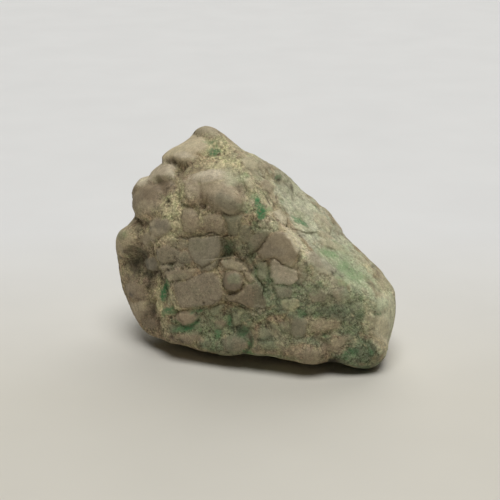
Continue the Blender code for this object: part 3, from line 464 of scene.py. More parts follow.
# Dark marks: cracks and dirt, and painted shade in the crevice under the head, under the brows and cobble
# and along shadow lines; spots as a patch, and lines.
DARK_SPOTS = (
    (175, 164, 4, 2.6, 0, 1.0), (179, 167, 3, 2, 0, 0.8), (180, 174, 1.4, 4, 0, 0.9),
    (194, 167, 4, 1.6, 0, 0.4), (194, 133, 3, 2.6, 0, 0.8), (163, 184, 9, 1.6, 6, 0.2),
    (162, 199, 1.4, 5, 0, 0.5), (160, 209, 1.4, 3, 0, 0.5), (168, 202, 1.8, 2.6, 0, 0.9),
    (170, 207, 2, 1.4, 0, 0.6), (184, 208, 2.6, 1.6, 0, 0.6), (201, 204, 2.4, 2.4, 0, 0.7),
    (205, 208, 2.2, 1.6, 0, 0.6), (195, 205, 4, 1.2, 0, 0.7), (229, 148, 1, 2.6, 0, 0.6),
    (229, 156, 1.6, 1.8, 0, 0.8), (224, 153, 1.8, 1.4, 0, 0.6), (210, 141, 2, 1, 0, 0.4),
    (279, 180, 2.6, 2, 0, 0.9), (262, 175, 4, 1.4, -30, 0.8), (266, 171, 1.4, 2, 0, 0.5),
    (292, 189, 1.4, 6, 15, 0.9), (276, 196, 1, 2, 0, 0.8), (252, 218, 2, 1.2, 0, 0.8),
    (258, 221, 2, 1.2, 0, 0.6), (274, 220, 1.4, 1, 0, 0.8), (287, 226, 1.4, 1, 0, 0.9),
    (307, 232, 6, 1.4, 0, 0.6), (302, 236, 4, 1, 0, 0.5), (227, 254, 6, 2.4, 0, 0.6),
    (223, 244, 1.6, 5, 0, 0.8), (228, 246, 8, 7, 0, 0.2), (250, 271, 2.4, 1.8, 0, 0.9),
    (240, 260, 3, 1.4, -30, 0.9), (255, 250, 2, 1, 0, 0.7), (247, 243, 1.2, 1.6, 0, 0.6),
    (205, 302, 1.2, 1.6, 0, 1.0), (160, 253.5, 1.2, 1.8, 0, 1.0), (161, 248, 1.4, 1.4, 0, 0.9),
    (173, 262.5, 2, 1.6, 0, 0.9), (172, 257, 1.4, 1, 0, 0.6), (170, 269, 2, 1.4, 0, 0.9),
    (181, 279.5, 2.4, 0.8, 0, 1.0), (244, 284, 1.4, 1.2, 0, 0.9), (150, 304, 1.6, 1.4, 0, 1.0),
    (172, 286, 1.2, 1.2, 0, 0.6), (138, 263, 4, 6, 0, 1.0), (128, 251, 3, 2.4, 0, 0.9),
    (121, 258, 2, 1.6, 0, 0.9), (133, 247, 3, 1.6, -30, 0.7), (144, 253, 4, 1.6, -35, 0.9),
    (125, 265, 1.6, 2, 0, 0.8), (143, 260, 3, 2, 0, 0.6), (157, 272, 3, 2, 0, 1.0),
    (151, 276, 3, 3, -30, 0.8), (149, 283, 2, 4, 0, 0.6), (133, 294, 2.4, 2, 0, 0.8),
    (154, 310, 2, 6, 0, 0.8), (147, 265, 2, 1.6, 0, 0.6), (166, 279, 1.6, 5, -10, 0.8),
    (172, 317, 1.8, 1.2, 0, 0.9), (171, 326, 1.4, 1.2, 0, 0.9), (173, 335, 2.6, 1.6, 0, 0.9),
    (198, 321, 2, 2.4, 0, 0.8), (200, 335, 4, 1.2, 0, 0.8), (199, 346, 2.4, 1.2, 0, 0.7),
    (224, 315, 2, 1.2, 0, 0.7), (227, 329, 2, 1.6, 0, 0.8), (243, 306, 4, 1.6, -20, 0.9),
    (251, 316, 2, 1.2, 0, 0.8), (266, 327, 1.2, 2.4, 0, 1.0), (269, 329, 1.8, 1.2, 0, 1.0),
    (272, 327, 1.2, 1.6, 0, 0.8), (269, 325, 1, 1.6, 0, 0.7), (296, 312, 1.8, 1.2, 0, 0.8),
    (273, 290, 1.8, 1.2, 0, 0.8), (351, 304, 1.4, 1.4, 0, 1.0), (348, 308, 1.8, 1, 0, 0.9),
    (323, 306, 1, 1, 0, 0.9), (328, 309, 1.6, 0.9, 0, 0.8), (356, 316, 1.4, 1.4, 0, 0.7),
    (353, 328, 1.2, 1.2, 0, 0.6), (369, 338, 0.8, 1.8, 0, 0.8), (347, 350, 1.4, 1.4, 0, 0.5),
    (373, 348, 1.2, 2.6, 0, 0.6), (364, 350, 2.6, 0.9, 0, 0.6), (331, 331, 2, 1, 0, 0.6),
    (331, 339, 1.8, 0.9, 0, 0.7), (372, 267, 2.2, 1.6, 0, 0.9), (333, 273, 3, 1.4, -35, 0.8),
    (342, 276, 3, 1, -50, 0.8), (368, 283, 2.4, 0.9, 0, 0.6), (350, 289, 2, 1, -20, 0.6),
    (318, 288, 3, 1, 0, 0.6), (333, 297, 4, 1, -40, 0.5), (243, 331, 7, 4, 0, 0.5),
    (190, 343, 4, 1, -10, 0.5), (375, 314, 2.4, 1, 0, 0.4),
)
DARK_LINES = (
    (1.0, 0.85, ((178, 238), (184, 238), (190, 238), (198, 236), (205, 235), (211, 233), (218, 236))),
    (1.1, 0.6, ((160, 262), (163, 271), (166, 279), (169, 288), (170, 295))),
    (1.0, 0.5, ((171, 293), (176, 301), (180, 307))),
    (1.5, 0.9, ((236, 258), (242, 261), (247, 267), (251, 272))),
    (1.0, 0.7, ((256, 277), (261, 283), (264, 290), (263, 297))),
    (1.0, 0.7, ((203, 269), (208, 265), (211, 262))),
    (1.2, 0.55, ((226, 272), (224, 278), (226, 286), (229, 290), (236, 291), (242, 288))),
    (1.0, 0.6, ((266, 240), (262, 245), (258, 249), (252, 251))), (0.9, 0.5, ((258, 261), (267, 261))),
    (0.9, 0.5, ((268, 262), (268, 270), (269, 279))),
    (1.1, 0.25, ((200, 210), (215, 211), (228, 214), (241, 214))),
    (1.2, 0.7, ((226, 299), (236, 300), (243, 303), (248, 307))), (1.0, 0.6, ((220, 314), (226, 309))),
    (1.0, 0.4, ((152, 258), (157, 263), (160, 270))), (1.0, 0.45, ((299, 258), (296, 264), (291, 268))),
    (0.9, 0.5, ((306, 262), (307, 270), (306, 281))), (0.8, 0.5, ((313, 243), (318, 247), (321, 250))),
    (0.7, 0.7, ((263, 191), (267, 197), (270, 203))), (0.7, 0.5, ((266, 190), (271, 199), (276, 207))),
    (0.8, 0.5, ((183, 211), (182, 221), (185, 231))), (0.8, 0.4, ((199, 212), (199, 228))),
    (0.7, 0.6, ((210, 306), (218, 299))), (0.7, 0.5, ((213, 308), (221, 301))),
    (0.7, 0.5, ((209, 316), (217, 317))), (0.8, 0.8, ((178, 310), (187, 310))),
    (1.0, 0.5, ((189, 310), (195, 311), (198, 317))), (0.9, 0.5, ((177, 324), (184, 325), (194, 325))),
    (1.0, 0.7, ((323, 335), (331, 335))), (0.9, 0.6, ((258, 340), (263, 341), (268, 339), (272, 337))),
    (0.8, 0.6, ((257, 350), (266, 350), (271, 351))),
    (1.8, 0.8, ((249, 334), (252, 342), (248, 350), (243, 356))), (1.0, 0.5, ((231, 309), (232, 317))),
    (0.8, 0.5, ((329, 294), (336, 299))),
    (0.6, 0.4, ((371, 300), (370, 307), (373, 312), (379, 314), (385, 311))),
    (0.8, 0.4, ((277, 260), (284, 266), (292, 269))), (1.0, 0.6, ((140, 246), (144, 251), (148, 254))),
    (0.8, 0.5, ((151, 240), (157, 240), (160, 238))), (1.0, 0.5, ((181, 178), (182, 186), (181, 192))),
    (1.2, 0.5, ((135, 219), (143, 224), (155, 221))), (1.0, 0.5, ((320, 357), (326, 354), (332, 357))),
    (0.9, 0.5, ((199, 165), (199, 170))), (0.8, 0.4, ((278, 299), (281, 309), (289, 310))),
    (0.8, 0.35, ((290, 322), (289, 331), (293, 337), (302, 338))),
)

# Crumbly places of the matrix: as a patch.
CRUMBLY_SPOTS = (
    (138, 260, 16, 22, 0, 1.0), (150, 278, 10, 14, 0, 0.9), (136, 290, 14, 16, 0, 0.5),
    (171, 212, 12, 28, 0, 0.8), (218, 148, 14, 15, 0, 0.9), (150, 214, 12, 8, 0, 0.7),
    (268, 327, 7, 5, 0, 0.8), (358, 350, 24, 12, 0, 0.6), (335, 308, 32, 14, 0, 0.6),
    (252, 314, 22, 8, 0, 0.8), (200, 338, 20, 10, 0, 0.5), (240, 324, 14, 12, 0, 0.7),
    (265, 170, 16, 8, -30, 0.6), (256, 222, 14, 6, 0, 0.7), (128, 244, 10, 12, 0, 0.6),
    (202, 222, 5, 10, 0, 0.7), (170, 312, 9, 8, 0, 0.8), (270, 290, 7, 16, 0, 0.6),
    (290, 305, 12, 8, 0, 0.7), (182, 182, 5, 10, 0, 0.7),
)

# Smooth, rounded places: as a patch.
SMOOTH_SPOTS = (
    (214, 184, 27, 18, 0, 0.9), (228, 202, 17, 11, -14, 1.0), (146, 196, 14, 17, 10, 0.9),
    (162, 188, 12, 7, 10, 0.8), (188, 149, 20, 10, 22, 0.9), (162, 172, 13, 8, 20, 0.9),
    (383, 318, 13, 30, 0, 0.8), (208, 130, 14, 6, 0, 0.6), (142, 308, 11, 14, 0, 0.5),
    (254, 165, 14, 8, -35, 0.6), (320, 264, 16, 9, -40, 0.8), (284, 247, 16, 16, 0, 0.8),
    (367, 270, 22, 8, -40, 0.5),
)


class StoneSettings(bpy.types.PropertyGroup):
    """Sizes and colours of the stone."""

    crumb_rise: bpy.props.FloatProperty(
        name="Crumb rise", description="Height of the crumbs in the matrix",
        default=0.30 * MM, min=0.0, subtype="DISTANCE", unit="LENGTH")
    joint_depth: bpy.props.FloatProperty(
        name="Joint depth", description="Depth of the joints round the clasts",
        default=0.18 * MM, min=0.0, subtype="DISTANCE", unit="LENGTH")
    deep_green: bpy.props.FloatVectorProperty(
        name="Deep green", description="Colour of the richest veins",
        default=(0.085, 0.245, 0.100), size=3, min=0.0, max=1.0, subtype="COLOR")
    pale_green: bpy.props.FloatVectorProperty(
        name="Pale green", description="Colour of the chalky green patches",
        default=(0.25, 0.375, 0.18), size=3, min=0.0, max=1.0, subtype="COLOR")
    cream: bpy.props.FloatVectorProperty(
        name="Cream", description="Colour of the crumbly cream matrix",
        default=(0.70, 0.61, 0.37), size=3, min=0.0, max=1.0, subtype="COLOR")
    # Dark marks: dirt in pits and joints, and painted shade in hollows, crevices and shadow lines.
    dirt_and_shade: bpy.props.FloatVectorProperty(
        name="Dirt", description="Colour of the dirt in pits and joints",
        default=(0.045, 0.035, 0.02), size=3, min=0.0, max=1.0, subtype="COLOR")


class StageSettings(bpy.types.PropertyGroup):
    """Floor, light and camera."""

    floor_colour: bpy.props.FloatVectorProperty(
        name="Floor colour", description="Colour of the pale floor behind the stone",
        default=(0.757, 0.760, 0.757), size=3, min=0.0, max=1.0, subtype="COLOR")
    floor_near: bpy.props.FloatVectorProperty(
        name="Near floor", description="Colour of the floor towards the viewer",
        default=(0.668, 0.645, 0.58), size=3, min=0.0, max=1.0, subtype="COLOR")
    key_strength: bpy.props.FloatProperty(
        name="Key strength", description="Strength of the large soft light overhead",
        default=2.08, min=0.0)
    key_width: bpy.props.FloatProperty(
        name="Key width", description="How wide the soft light overhead looks from the stone",
        default=math.radians(37.0), min=0.0, subtype="ANGLE")
    glow_strength: bpy.props.FloatProperty(
        name="Glow strength", description="Strength of the light from the bright wall behind",
        default=1.10, min=0.0)
    glow_width: bpy.props.FloatProperty(
        name="Glow width", description="How wide the bright wall behind looks from the stone",
        default=math.radians(62.0), min=0.0, subtype="ANGLE")
    fill_strength: bpy.props.FloatProperty(
        name="Fill strength", description="Brightness of the even light all round",
        default=0.034, min=0.0)


def smooth_step(edge0, edge1, value):
    """Eases from 0 at edge0 to 1 at edge1 along a cubic."""
    part = np.clip((value - edge0) / (edge1 - edge0), 0.0, 1.0)
    return part * part * (3.0 - 2.0 * part)


def lattice_value(cells, seed):
    """A fixed number from -1 to 1 for each whole-number lattice cell, from mixed bits."""
    x, y, z = cells[..., 0], cells[..., 1], cells[..., 2]
    mixed = (x * 374761393 + y * 668265263 + z * 1274126177 + seed * 974634777) & 0xFFFFFFFF
    mixed = ((mixed ^ (mixed >> 13)) * 1103515245) & 0xFFFFFFFF
    return ((mixed ^ (mixed >> 16)) & 0xFFFF) / 32767.5 - 1.0


def smooth_noise(points, size, seed):
    """Lattice values blended by a quintic ease: lumps about size across, from -1 to 1."""
    scaled = points / size + 100.0
    cell = np.floor(scaled).astype(np.int64)
    part = scaled - cell
    ease = part * part * part * (part * (part * 6.0 - 15.0) + 10.0)
    total = np.zeros(len(points))
    for corner in np.ndindex(2, 2, 2):
        side = np.array(corner)
        weight = np.prod(np.where(side == 1, ease, 1.0 - ease), axis=1)
        total += weight * lattice_value(cell + side, seed)
    return total


def rough_noise(points, size, seed, octaves=3):
    """Smooth noise summed over octaves, each half the size and half the height."""
    return sum(smooth_noise(points, size / 2 ** k, seed + 7 * k) / 2 ** k for k in range(octaves))


def cell_field(points, size, seed):
    """Cells round jittered seeds: (gap between the two nearest seeds, a number for the cell)."""
    scaled = points / size + 50.0
    cell = np.floor(scaled).astype(np.int64)
    nearest = np.full(len(points), 9.0)
    second = np.full(len(points), 9.0)
    value = np.zeros(len(points))
    for corner in np.ndindex(3, 3, 3):
        spot = cell + np.array(corner) - 1
        jitter = [lattice_value(spot, seed + axis) * 0.42 + 0.5 for axis in range(3)]
        gap = np.linalg.norm(spot + np.stack(jitter, axis=-1) - scaled, axis=1)
        value = np.where(gap < nearest, lattice_value(spot, seed + 5), value)
        second = np.minimum(second, np.maximum(nearest, gap))
        nearest = np.minimum(nearest, gap)
    return second - nearest, value


def cube_grid(steps, pull):
    """Six square grids, tangent-spaced, blown up to a ball, drawn to the viewer by pull, and welded."""
    ease = np.tan(np.linspace(-1.0, 1.0, steps + 1) * math.pi / 4.0)
    across, along = np.meshgrid(ease, ease, indexing="ij")
    ones = np.ones_like(across)
    sides = []
    for turn in range(3):
        for sign in (1.0, -1.0):
            layers = (sign * ones, across, sign * along)
            side = np.stack([layers[(k - turn) % 3] for k in range(3)], axis=-1)
            sides.append(side.reshape(-1, 3))
    corners = np.concatenate(sides)
    index = np.arange(6 * (steps + 1) ** 2).reshape(6, steps + 1, steps + 1)
    quads = np.stack([index[:, :-1, :-1], index[:, 1:, :-1], index[:, 1:, 1:], index[:, :-1, 1:]], axis=-1)
    keys = np.round(corners * 1e6).astype(np.int64)
    _, first, place = np.unique(keys, axis=0, return_index=True, return_inverse=True)
    rays = corners[first] / np.linalg.norm(corners[first], axis=1, keepdims=True)
    rays = rays + (0.0, 0.0, pull)
    rays /= np.linalg.norm(rays, axis=1, keepdims=True)
    return rays, place.reshape(-1)[quads.reshape(-1, 4)]


def outline_radius(angle, softness):
    """Distance from the centre to the outline polygon, smeared round by a bell of that softness."""
    places = (np.array(OUTLINE, dtype=float) - MIDDLE) * (UNIT, -UNIT)
    own = np.arctan2(places[:, 1], places[:, 0])
    reach = np.hypot(places[:, 0], places[:, 1])
    order = np.argsort(own)
    dense = np.linspace(-math.pi, math.pi, 721)
    curve = np.interp(dense, own[order], reach[order], period=2.0 * math.pi)[:-1]
    offsets = np.arange(720) * math.pi / 360.0
    offsets = np.minimum(offsets, 2.0 * math.pi - offsets)
    kernel = np.exp(-0.5 * (offsets / softness) ** 2)
    curve = np.fft.ifft(np.fft.fft(curve) * np.fft.fft(kernel / kernel.sum())).real
    return np.interp(angle, dense[:-1], curve, period=2.0 * math.pi)


def rim_lean(rays):
    """How far the rim stands towards the viewer on each ray: more low down and on the right."""
    lean = RIM_LEAN * smooth_step(0.5, 1.0, -rays[:, 1])
    lean += RIM_TURN * (rays[:, 0] - 0.4 * np.abs(rays[:, 0]))
    return lean * smooth_step(-0.9, -0.3, rays[:, 2])


def body_radius(rays):
    """Broad form: a super-ellipse pillow over the outline, power-blended with the broad faces."""
    angle = np.arctan2(rays[:, 1], rays[:, 0])
    lean = rim_lean(rays)
    nearer = rays[:, 2] - lean
    nearness = np.exp(-(nearer / RIM_REACH) ** 2)
    broad = outline_radius(angle, 0.22)
    outline = broad + (outline_radius(angle, 0.025) - broad) * nearness
    outline *= 0.995 - lean * outline / SIGHT_DISTANCE
    flat = np.hypot(rays[:, 0], rays[:, 1])
    depth = np.where(nearer > 0.0, FRONT_DEPTH, BACK_DEPTH)
    pillow = (flat / outline) ** FULLNESS + (np.abs(nearer) / depth) ** FULLNESS
    inverse = pillow ** (FACET_SHARPNESS / FULLNESS)
    for way_out, distance in BROAD_FACES:
        way_out = np.array(way_out) / np.linalg.norm(way_out)
        inverse += (np.maximum(rays @ way_out, 0.0) / (distance * MM)) ** FACET_SHARPNESS
    return inverse ** (-1.0 / FACET_SHARPNESS)


def sketch_places(points):
    """Where points fall on the sketch grid: right and down, over how near the standpoint they are."""
    nearer = 1.0 - points[:, 2] / SIGHT_DISTANCE
    return (MIDDLE[0] + points[:, 0] / nearer / UNIT,
            MIDDLE[1] - points[:, 1] / nearer / UNIT)


def oval_reach(across, down, form, power):
    """0 in the middle of a turned oval and 1 on its edge, by the power sum of its half widths."""
    right, low, half_length, half_width, turn = form[:5]
    turn = math.radians(turn)
    along = (across - right) * math.cos(turn) - (down - low) * math.sin(turn)
    beside = (across - right) * math.sin(turn) + (down - low) * math.cos(turn)
    return np.abs(along / half_length) ** power + np.abs(beside / half_width) ** power


def chain_gap(across, down, chain):
    """Distance to a chain of points, positive on the left hand walking along it."""
    nearest = np.full(len(across), 1e9)
    signed = np.zeros(len(across))
    for (x0, y0), (x1, y1) in zip(chain[:-1], chain[1:]):
        length = (x1 - x0) ** 2 + (y1 - y0) ** 2
        part = np.clip(((across - x0) * (x1 - x0) + (down - y0) * (y1 - y0)) / length, 0.0, 1.0)
        gap = np.hypot(across - x0 - part * (x1 - x0), down - y0 - part * (y1 - y0))
        side = np.sign((across - x0) * (y1 - y0) - (down - y0) * (x1 - x0))
        signed = np.where(gap < nearest, gap * side, signed)
        nearest = np.minimum(nearest, gap)
    return signed


def clast_layers(across, down):
    """Rise, colour, cover and edge distance of the broken clasts.

    Each is a plate at its own height plus a tilt about its middle, with its edge bevelled and, where
    it doesn't tilt by itself, its top domed by exponentials of the depth inside the edge. Where two
    overlap the higher one stands, in the later one's colour.
    """
    rise = np.zeros(len(across))
    cover = np.zeros(len(across))
    edge = np.full(len(across), 9.0)
    colour = np.zeros((len(across), 3))
    for number, (height, tint, corners, *slopes) in enumerate(CLASTS):
        ring = corners + corners[:1]
        middle = np.mean(corners, axis=0)
        near = np.hypot(across - middle[0], down - middle[1]) < CLAST_REACH
        x, y = across[near], down[near]
        inside = np.zeros(len(x), dtype=bool)
        for (x0, y0), (x1, y1) in zip(ring[:-1], ring[1:]):
            if y0 != y1:
                crossing = x0 + (y - y0) * (x1 - x0) / (y1 - y0)
                inside ^= ((y0 > y) != (y1 > y)) & (x < crossing)
        gap = np.abs(chain_gap(x, y, ring))
        depth = np.maximum(np.where(inside, gap, -gap) + CLAST_MARGIN, 0.0)
        inside = depth > 0.0
        bevel = 1.0 - np.exp(-depth / BEVEL_REACH)
        dome = 0.0 if slopes else 0.4 * height
        slopes = slopes or (0.012 * math.sin(number * 2.4), 0.012 * math.cos(number * 3.7))
        tilt = (x - middle[0]) * slopes[0] + (y - middle[1]) * slopes[1]
        plate = (height + tilt) * bevel + dome * (1.0 - np.exp(-depth / DOME_REACH))
        part = smooth_step(0.0, 1.6, depth) * min(1.0, 0.35 + 0.8 * height)
        shade = 1.0 + 0.04 * math.sin(number * 5.1)
        rise[near] = np.where(inside, np.maximum(rise[near], plate), rise[near])
        colour[near] = np.where(inside[:, None], np.array(tint) * shade, colour[near])
        cover[near] = np.maximum(cover[near], part)
        edge[near] = np.minimum(edge[near], gap)
    return rise * MM, colour, cover, edge


def show_side_relief(across, down):
    """Rise of the show side's forms: the highest swelling, plus ledges, ridges and furrows, less pits.

    A swelling is a cap over its oval. A ledge steps across its chain and fades with the distance from
    it. A ridge or furrow is a bell across its chain, and a pit a bell about its middle.
    """
    relief = np.zeros(len(across))
    for form in SWELLINGS:
        reach = oval_reach(across, down, form, 2.2)
        relief = np.maximum(relief, form[5] * np.clip(1.0 - reach, 0.0, 1.0) ** 0.62)
    for rise, drop, reach, chain in LEDGES:
        signed = chain_gap(across, down, chain)
        side = smooth_step(-0.8, 0.8, signed)
        relief += (rise * side - drop * (1.0 - side)) * np.exp(-np.abs(signed) / reach)
    for half_width, rise, chain in CREASES:
        relief += rise * np.exp(-(chain_gap(across, down, chain) / half_width) ** 2 * 1.6)
    for right, low, half_width, depth in PITS:
        gap = np.hypot(across - right, down - low) / half_width
        relief -= depth * np.exp(-gap ** 2)
    return relief * MM


def spot_cover(across, down, spots):
    """Strongest of a set of soft ovals at each place: strength times a bell of the reach."""
    cover = np.zeros(len(across))
    for form in spots:
        cover = np.maximum(cover, form[5] * np.exp(-0.9 * oval_reach(across, down, form, 2.0) ** 1.4))
    return cover


def line_cover(across, down, lines):
    """Strongest of a set of soft lines at each place: strength times a bell of the distance."""
    cover = np.zeros(len(across))
    for half_width, strength, chain in lines:
        cover = np.maximum(cover, strength * np.exp(-(chain_gap(across, down, chain) / half_width) ** 2))
    return cover


def lay_zones(base, across, down, ruffle, zones):
    """Lays coloured ovals with torn edges one over the other on the base colours."""
    for form in zones:
        reach = np.sqrt(oval_reach(across, down, form, 2.0))
        strength = form[6] if len(form) > 6 else 1.0
        base = blend(base, np.array(form[5]), strength * smooth_step(1.3, 0.6, reach + ruffle))
    return base


def fibre_noise(across, down, seed):
    """Streaks along the slope: smooth noise on sketch places drawn out along the fibres."""
    along = (across * FIBRE_WAY[0] + down * FIBRE_WAY[1]) / FIBRE_SIZE[0]
    beside = (across * FIBRE_WAY[1] - down * FIBRE_WAY[0]) / FIBRE_SIZE[1]
    return smooth_noise(np.stack([along, beside, 0.0 * along], axis=-1), 1.0, seed)


def stand_up(points):
    """Turns points upright by the sight's tilt and lowers the feet by bells, down to the flat ground."""
    lean, rise = math.sin(SIGHT_TILT), math.cos(SIGHT_TILT)
    upright = np.stack([points[:, 0],
                        points[:, 1] * lean - points[:, 2] * rise,
                        points[:, 1] * rise + points[:, 2] * lean + CENTRE_HEIGHT], axis=-1)
    low = 1.0 - smooth_step(8.0 * MM, 20.0 * MM, upright[:, 2])
    for right, back, reach, drop in FEET:
        gap = np.hypot(upright[:, 0] / MM - right, upright[:, 1] / MM - back) / reach
        upright[:, 2] -= drop * MM * low * np.exp(-gap ** 2)
    upright[:, 2] = np.maximum(upright[:, 2], 0.0)
    upright[:, :2] += ORIGIN_SHIFT
    return upright


def blend(low, high, part):
    """Mixes two colours or two colour arrays by part, from 0 to 1."""
    return low * (1.0 - part[:, None]) + high * part[:, None]


def pick(palette, value):
    """A colour of the palette for each value from -1 to 1, in equal steps."""
    step = ((value + 1.0) * 0.5 * len(palette)).astype(int)
    return np.array(palette)[np.clip(step, 0, len(palette) - 1)]


def ragged_cover(cover, ruffle):
    """Turns a soft cover into a patch with a torn edge: an ease of cover and ruffle."""
    return cover * smooth_step(0.22, 0.50, cover * 0.8 + ruffle)


def slope_cover(across, down):
    """1 on the long fibrous slope: an ease across the crest times an ease across the slope's foot."""
    cover = smooth_step(-4.0, 8.0, (across - 262.0) * 0.80 - (down - 190.0) * 0.60)
    return cover * smooth_step(298.0, 284.0, down)


def survey_stone(rays):
    """What lies at each point of the broad form, by name.

    toward is how far a ray points at the viewer past the rim, and facing, front and far ease it.
    Places on the sketch waver by a noise and are read again on the swollen surface. The gaps and
    values come from cell fields of the sizes above, on points shifted by a noise.
    """
    at = SimpleNamespace(rays=rays, points=rays * body_radius(rays)[:, None])
    at.toward = rays[:, 2] - rim_lean(rays)
    at.facing = smooth_step(0.0, 0.30, at.toward)
    at.front = smooth_step(-0.14, -0.02, at.toward)
    at.back = 1.0 - at.front
    at.far = 1.0 - smooth_step(-0.30, 0.12, at.toward)
    waver = [1.1 * smooth_noise(at.points, 3.2 * MM, 61 + k)
             + 0.7 * smooth_noise(at.points, 1.3 * MM, 63 + k) for k in range(2)]
    across, down = sketch_places(at.points)
    at.broad = show_side_relief(across + waver[0], down + waver[1])
    across, down = sketch_places(at.points + rays * (at.broad * at.facing)[:, None])
    at.across, at.down = across + waver[0], down + waver[1]
    at.rise, at.clast_colour, cover, at.edge = clast_layers(at.across, at.down)
    at.cover = cover * at.front

    shift = [smooth_noise(at.points, 2.6 * MM, 8 + k) for k in range(3)]
    ragged = at.points + np.stack(shift, axis=-1) * 0.7 * MM
    at.hump_gap, _ = cell_field(at.points, HUMP_SIZE, 21)
    at.mid_gap, at.mid_value = cell_field(ragged, CLAST_SIZE, 47)
    chip_gap, at.chip_value = cell_field(ragged, CHIP_SIZE, 83)
    at.crumb_gap, at.crumb_value = cell_field(ragged, CRUMB_SIZE, 91)
    at.far_clast = at.back * smooth_step(0.03, 0.12, at.mid_gap) * (at.mid_value > -0.35)
    at.plate = np.maximum(at.cover, at.far_clast)
    at.matrix = 1.0 - at.plate
    at.slope = slope_cover(at.across, at.down) * at.front
    at.crumbly = np.maximum(spot_cover(at.across, at.down, CRUMBLY_SPOTS) * (1.0 - at.cover), 0.5 * at.back)
    at.smooth = np.minimum(1.6 * spot_cover(at.across, at.down, SMOOTH_SPOTS), 1.0) * at.front
    at.chip = smooth_step(0.04, 0.14, chip_gap) * (at.chip_value > 0.1) * (1.0 - 0.8 * at.slope)
    joint = np.exp(-(at.edge / JOINT_WIDTH) ** 2) * at.front + np.exp(-(at.mid_gap / 0.05) ** 2) * at.back
    at.joint = joint * np.clip(0.5 + 0.8 * smooth_noise(at.points, 4 * MM, 33), 0.0, 1.0)
    return at


def stone_relief(at, settings):
    """Rise along the ray: the show side's forms or the far side's humps, then lumps, crumbs and joints.

    The lumps and the fine part are less at the rim, and the whole fades out on the underside.
    """
    humps = 1.9 * smooth_step(0.0, 0.34, at.hump_gap) + 0.6 * smooth_step(0.0, 0.34, at.mid_gap)
    relief = (at.broad + at.rise) * at.facing + at.far * (humps - 1.4) * MM
    calm = 1.0 - 0.75 * np.exp(-(at.toward / 0.25) ** 2)
    relief += calm * smooth_noise(at.points, 16 * MM, 5) * MM
    relief += smooth_noise(at.points, 6 * MM, 9) * 0.35 * MM

    crumb = smooth_step(0.0, 0.35, at.crumb_gap) * (0.6 + 0.4 * at.crumb_value)
    rough = at.matrix * (1.0 - 0.6 * at.slope) * (0.55 + 0.9 * at.crumbly) * (1.0 - 0.8 * at.smooth)
    fine = rough * (0.9 * at.chip + (1.0 - at.chip) * crumb - 0.6) * settings.crumb_rise
    fine -= at.joint * settings.joint_depth
    fine += rough_noise(at.points, 2.2 * MM, 71) * (0.05 + 0.15 * rough) * MM
    fine += smooth_noise(at.points, 0.8 * MM, 77) * (0.012 + 0.09 * rough) * MM
    fine += fibre_noise(at.across, at.down, 88) * 0.07 * at.slope * at.matrix * MM
    fine -= line_cover(at.across, at.down, DARK_LINES) * 0.22 * at.front * MM
    relief += fine * np.clip(0.4 + 0.6 * at.facing + 0.6 * at.far, 0.0, 1.0)
    downward = -at.rays[:, 1] * math.cos(SIGHT_TILT) - at.rays[:, 2] * math.sin(SIGHT_TILT)
    return relief * (1.0 - 0.9 * smooth_step(0.86, 0.96, downward))


def rock_colours(at, ruffle):
    """Rock colour at each point.

    The matrix takes its zones' colours, broken by crumbs, small chips and, on the slope, fibres;
    broken clasts carry their own colour, and touches lie over both. The hidden side mixes the same
    colours by its cells.
    """
    across, down = at.across, at.down
    ones = np.ones((len(ruffle), 1))
    drift = 0.30 * smooth_noise(at.points, 5.0 * MM, 37) + 0.9 * ruffle
    ground = lay_zones(np.array(UMBER) * ones, across, down, drift, ZONES)
    ground *= 1.0 + ((0.10 + 0.14 * at.crumbly) * at.crumb_value * (1.0 - 0.7 * at.slope))[:, None]
    fibres = 0.16 * fibre_noise(across, down, 91) + 0.10 * fibre_noise(across * 2.0, down * 2.0, 95)
    ground *= 1.0 + (fibres * at.slope)[:, None]
    chips = pick((MAUVE, TAN, OLIVE, GREY, PINK, OLIVE), at.chip_value * 1.7 - 0.7)
    rim = 0.30 * np.exp(-(at.edge / 1.8) ** 2) * at.cover
    shown = blend(blend(ground, chips, 0.20 * at.chip), blend(at.clast_colour, ground, rim), at.cover)
    shown = lay_zones(shown, across, down, drift, TOUCHES)
    paleness = smooth_step(-0.5, 0.7, at.crumb_value)
    hidden = blend(np.array(TAN) * 0.8 * ones, np.array(CREAM) * 0.8, paleness)
    hidden = blend(hidden, chips, 0.6 * at.chip)
    far_clasts = pick((MAUVE, PINK, TAN, GREY, OLIVE, PALE, BROWN, LILAC), at.mid_value)
    hidden = blend(hidden, far_clasts, at.far_clast)
    mottle = 1.0 + 0.07 * rough_noise(at.points, 5 * MM, 15)[:, None]
    return np.clip(blend(hidden, shown, at.front) * mottle, 0.0, 1.0)


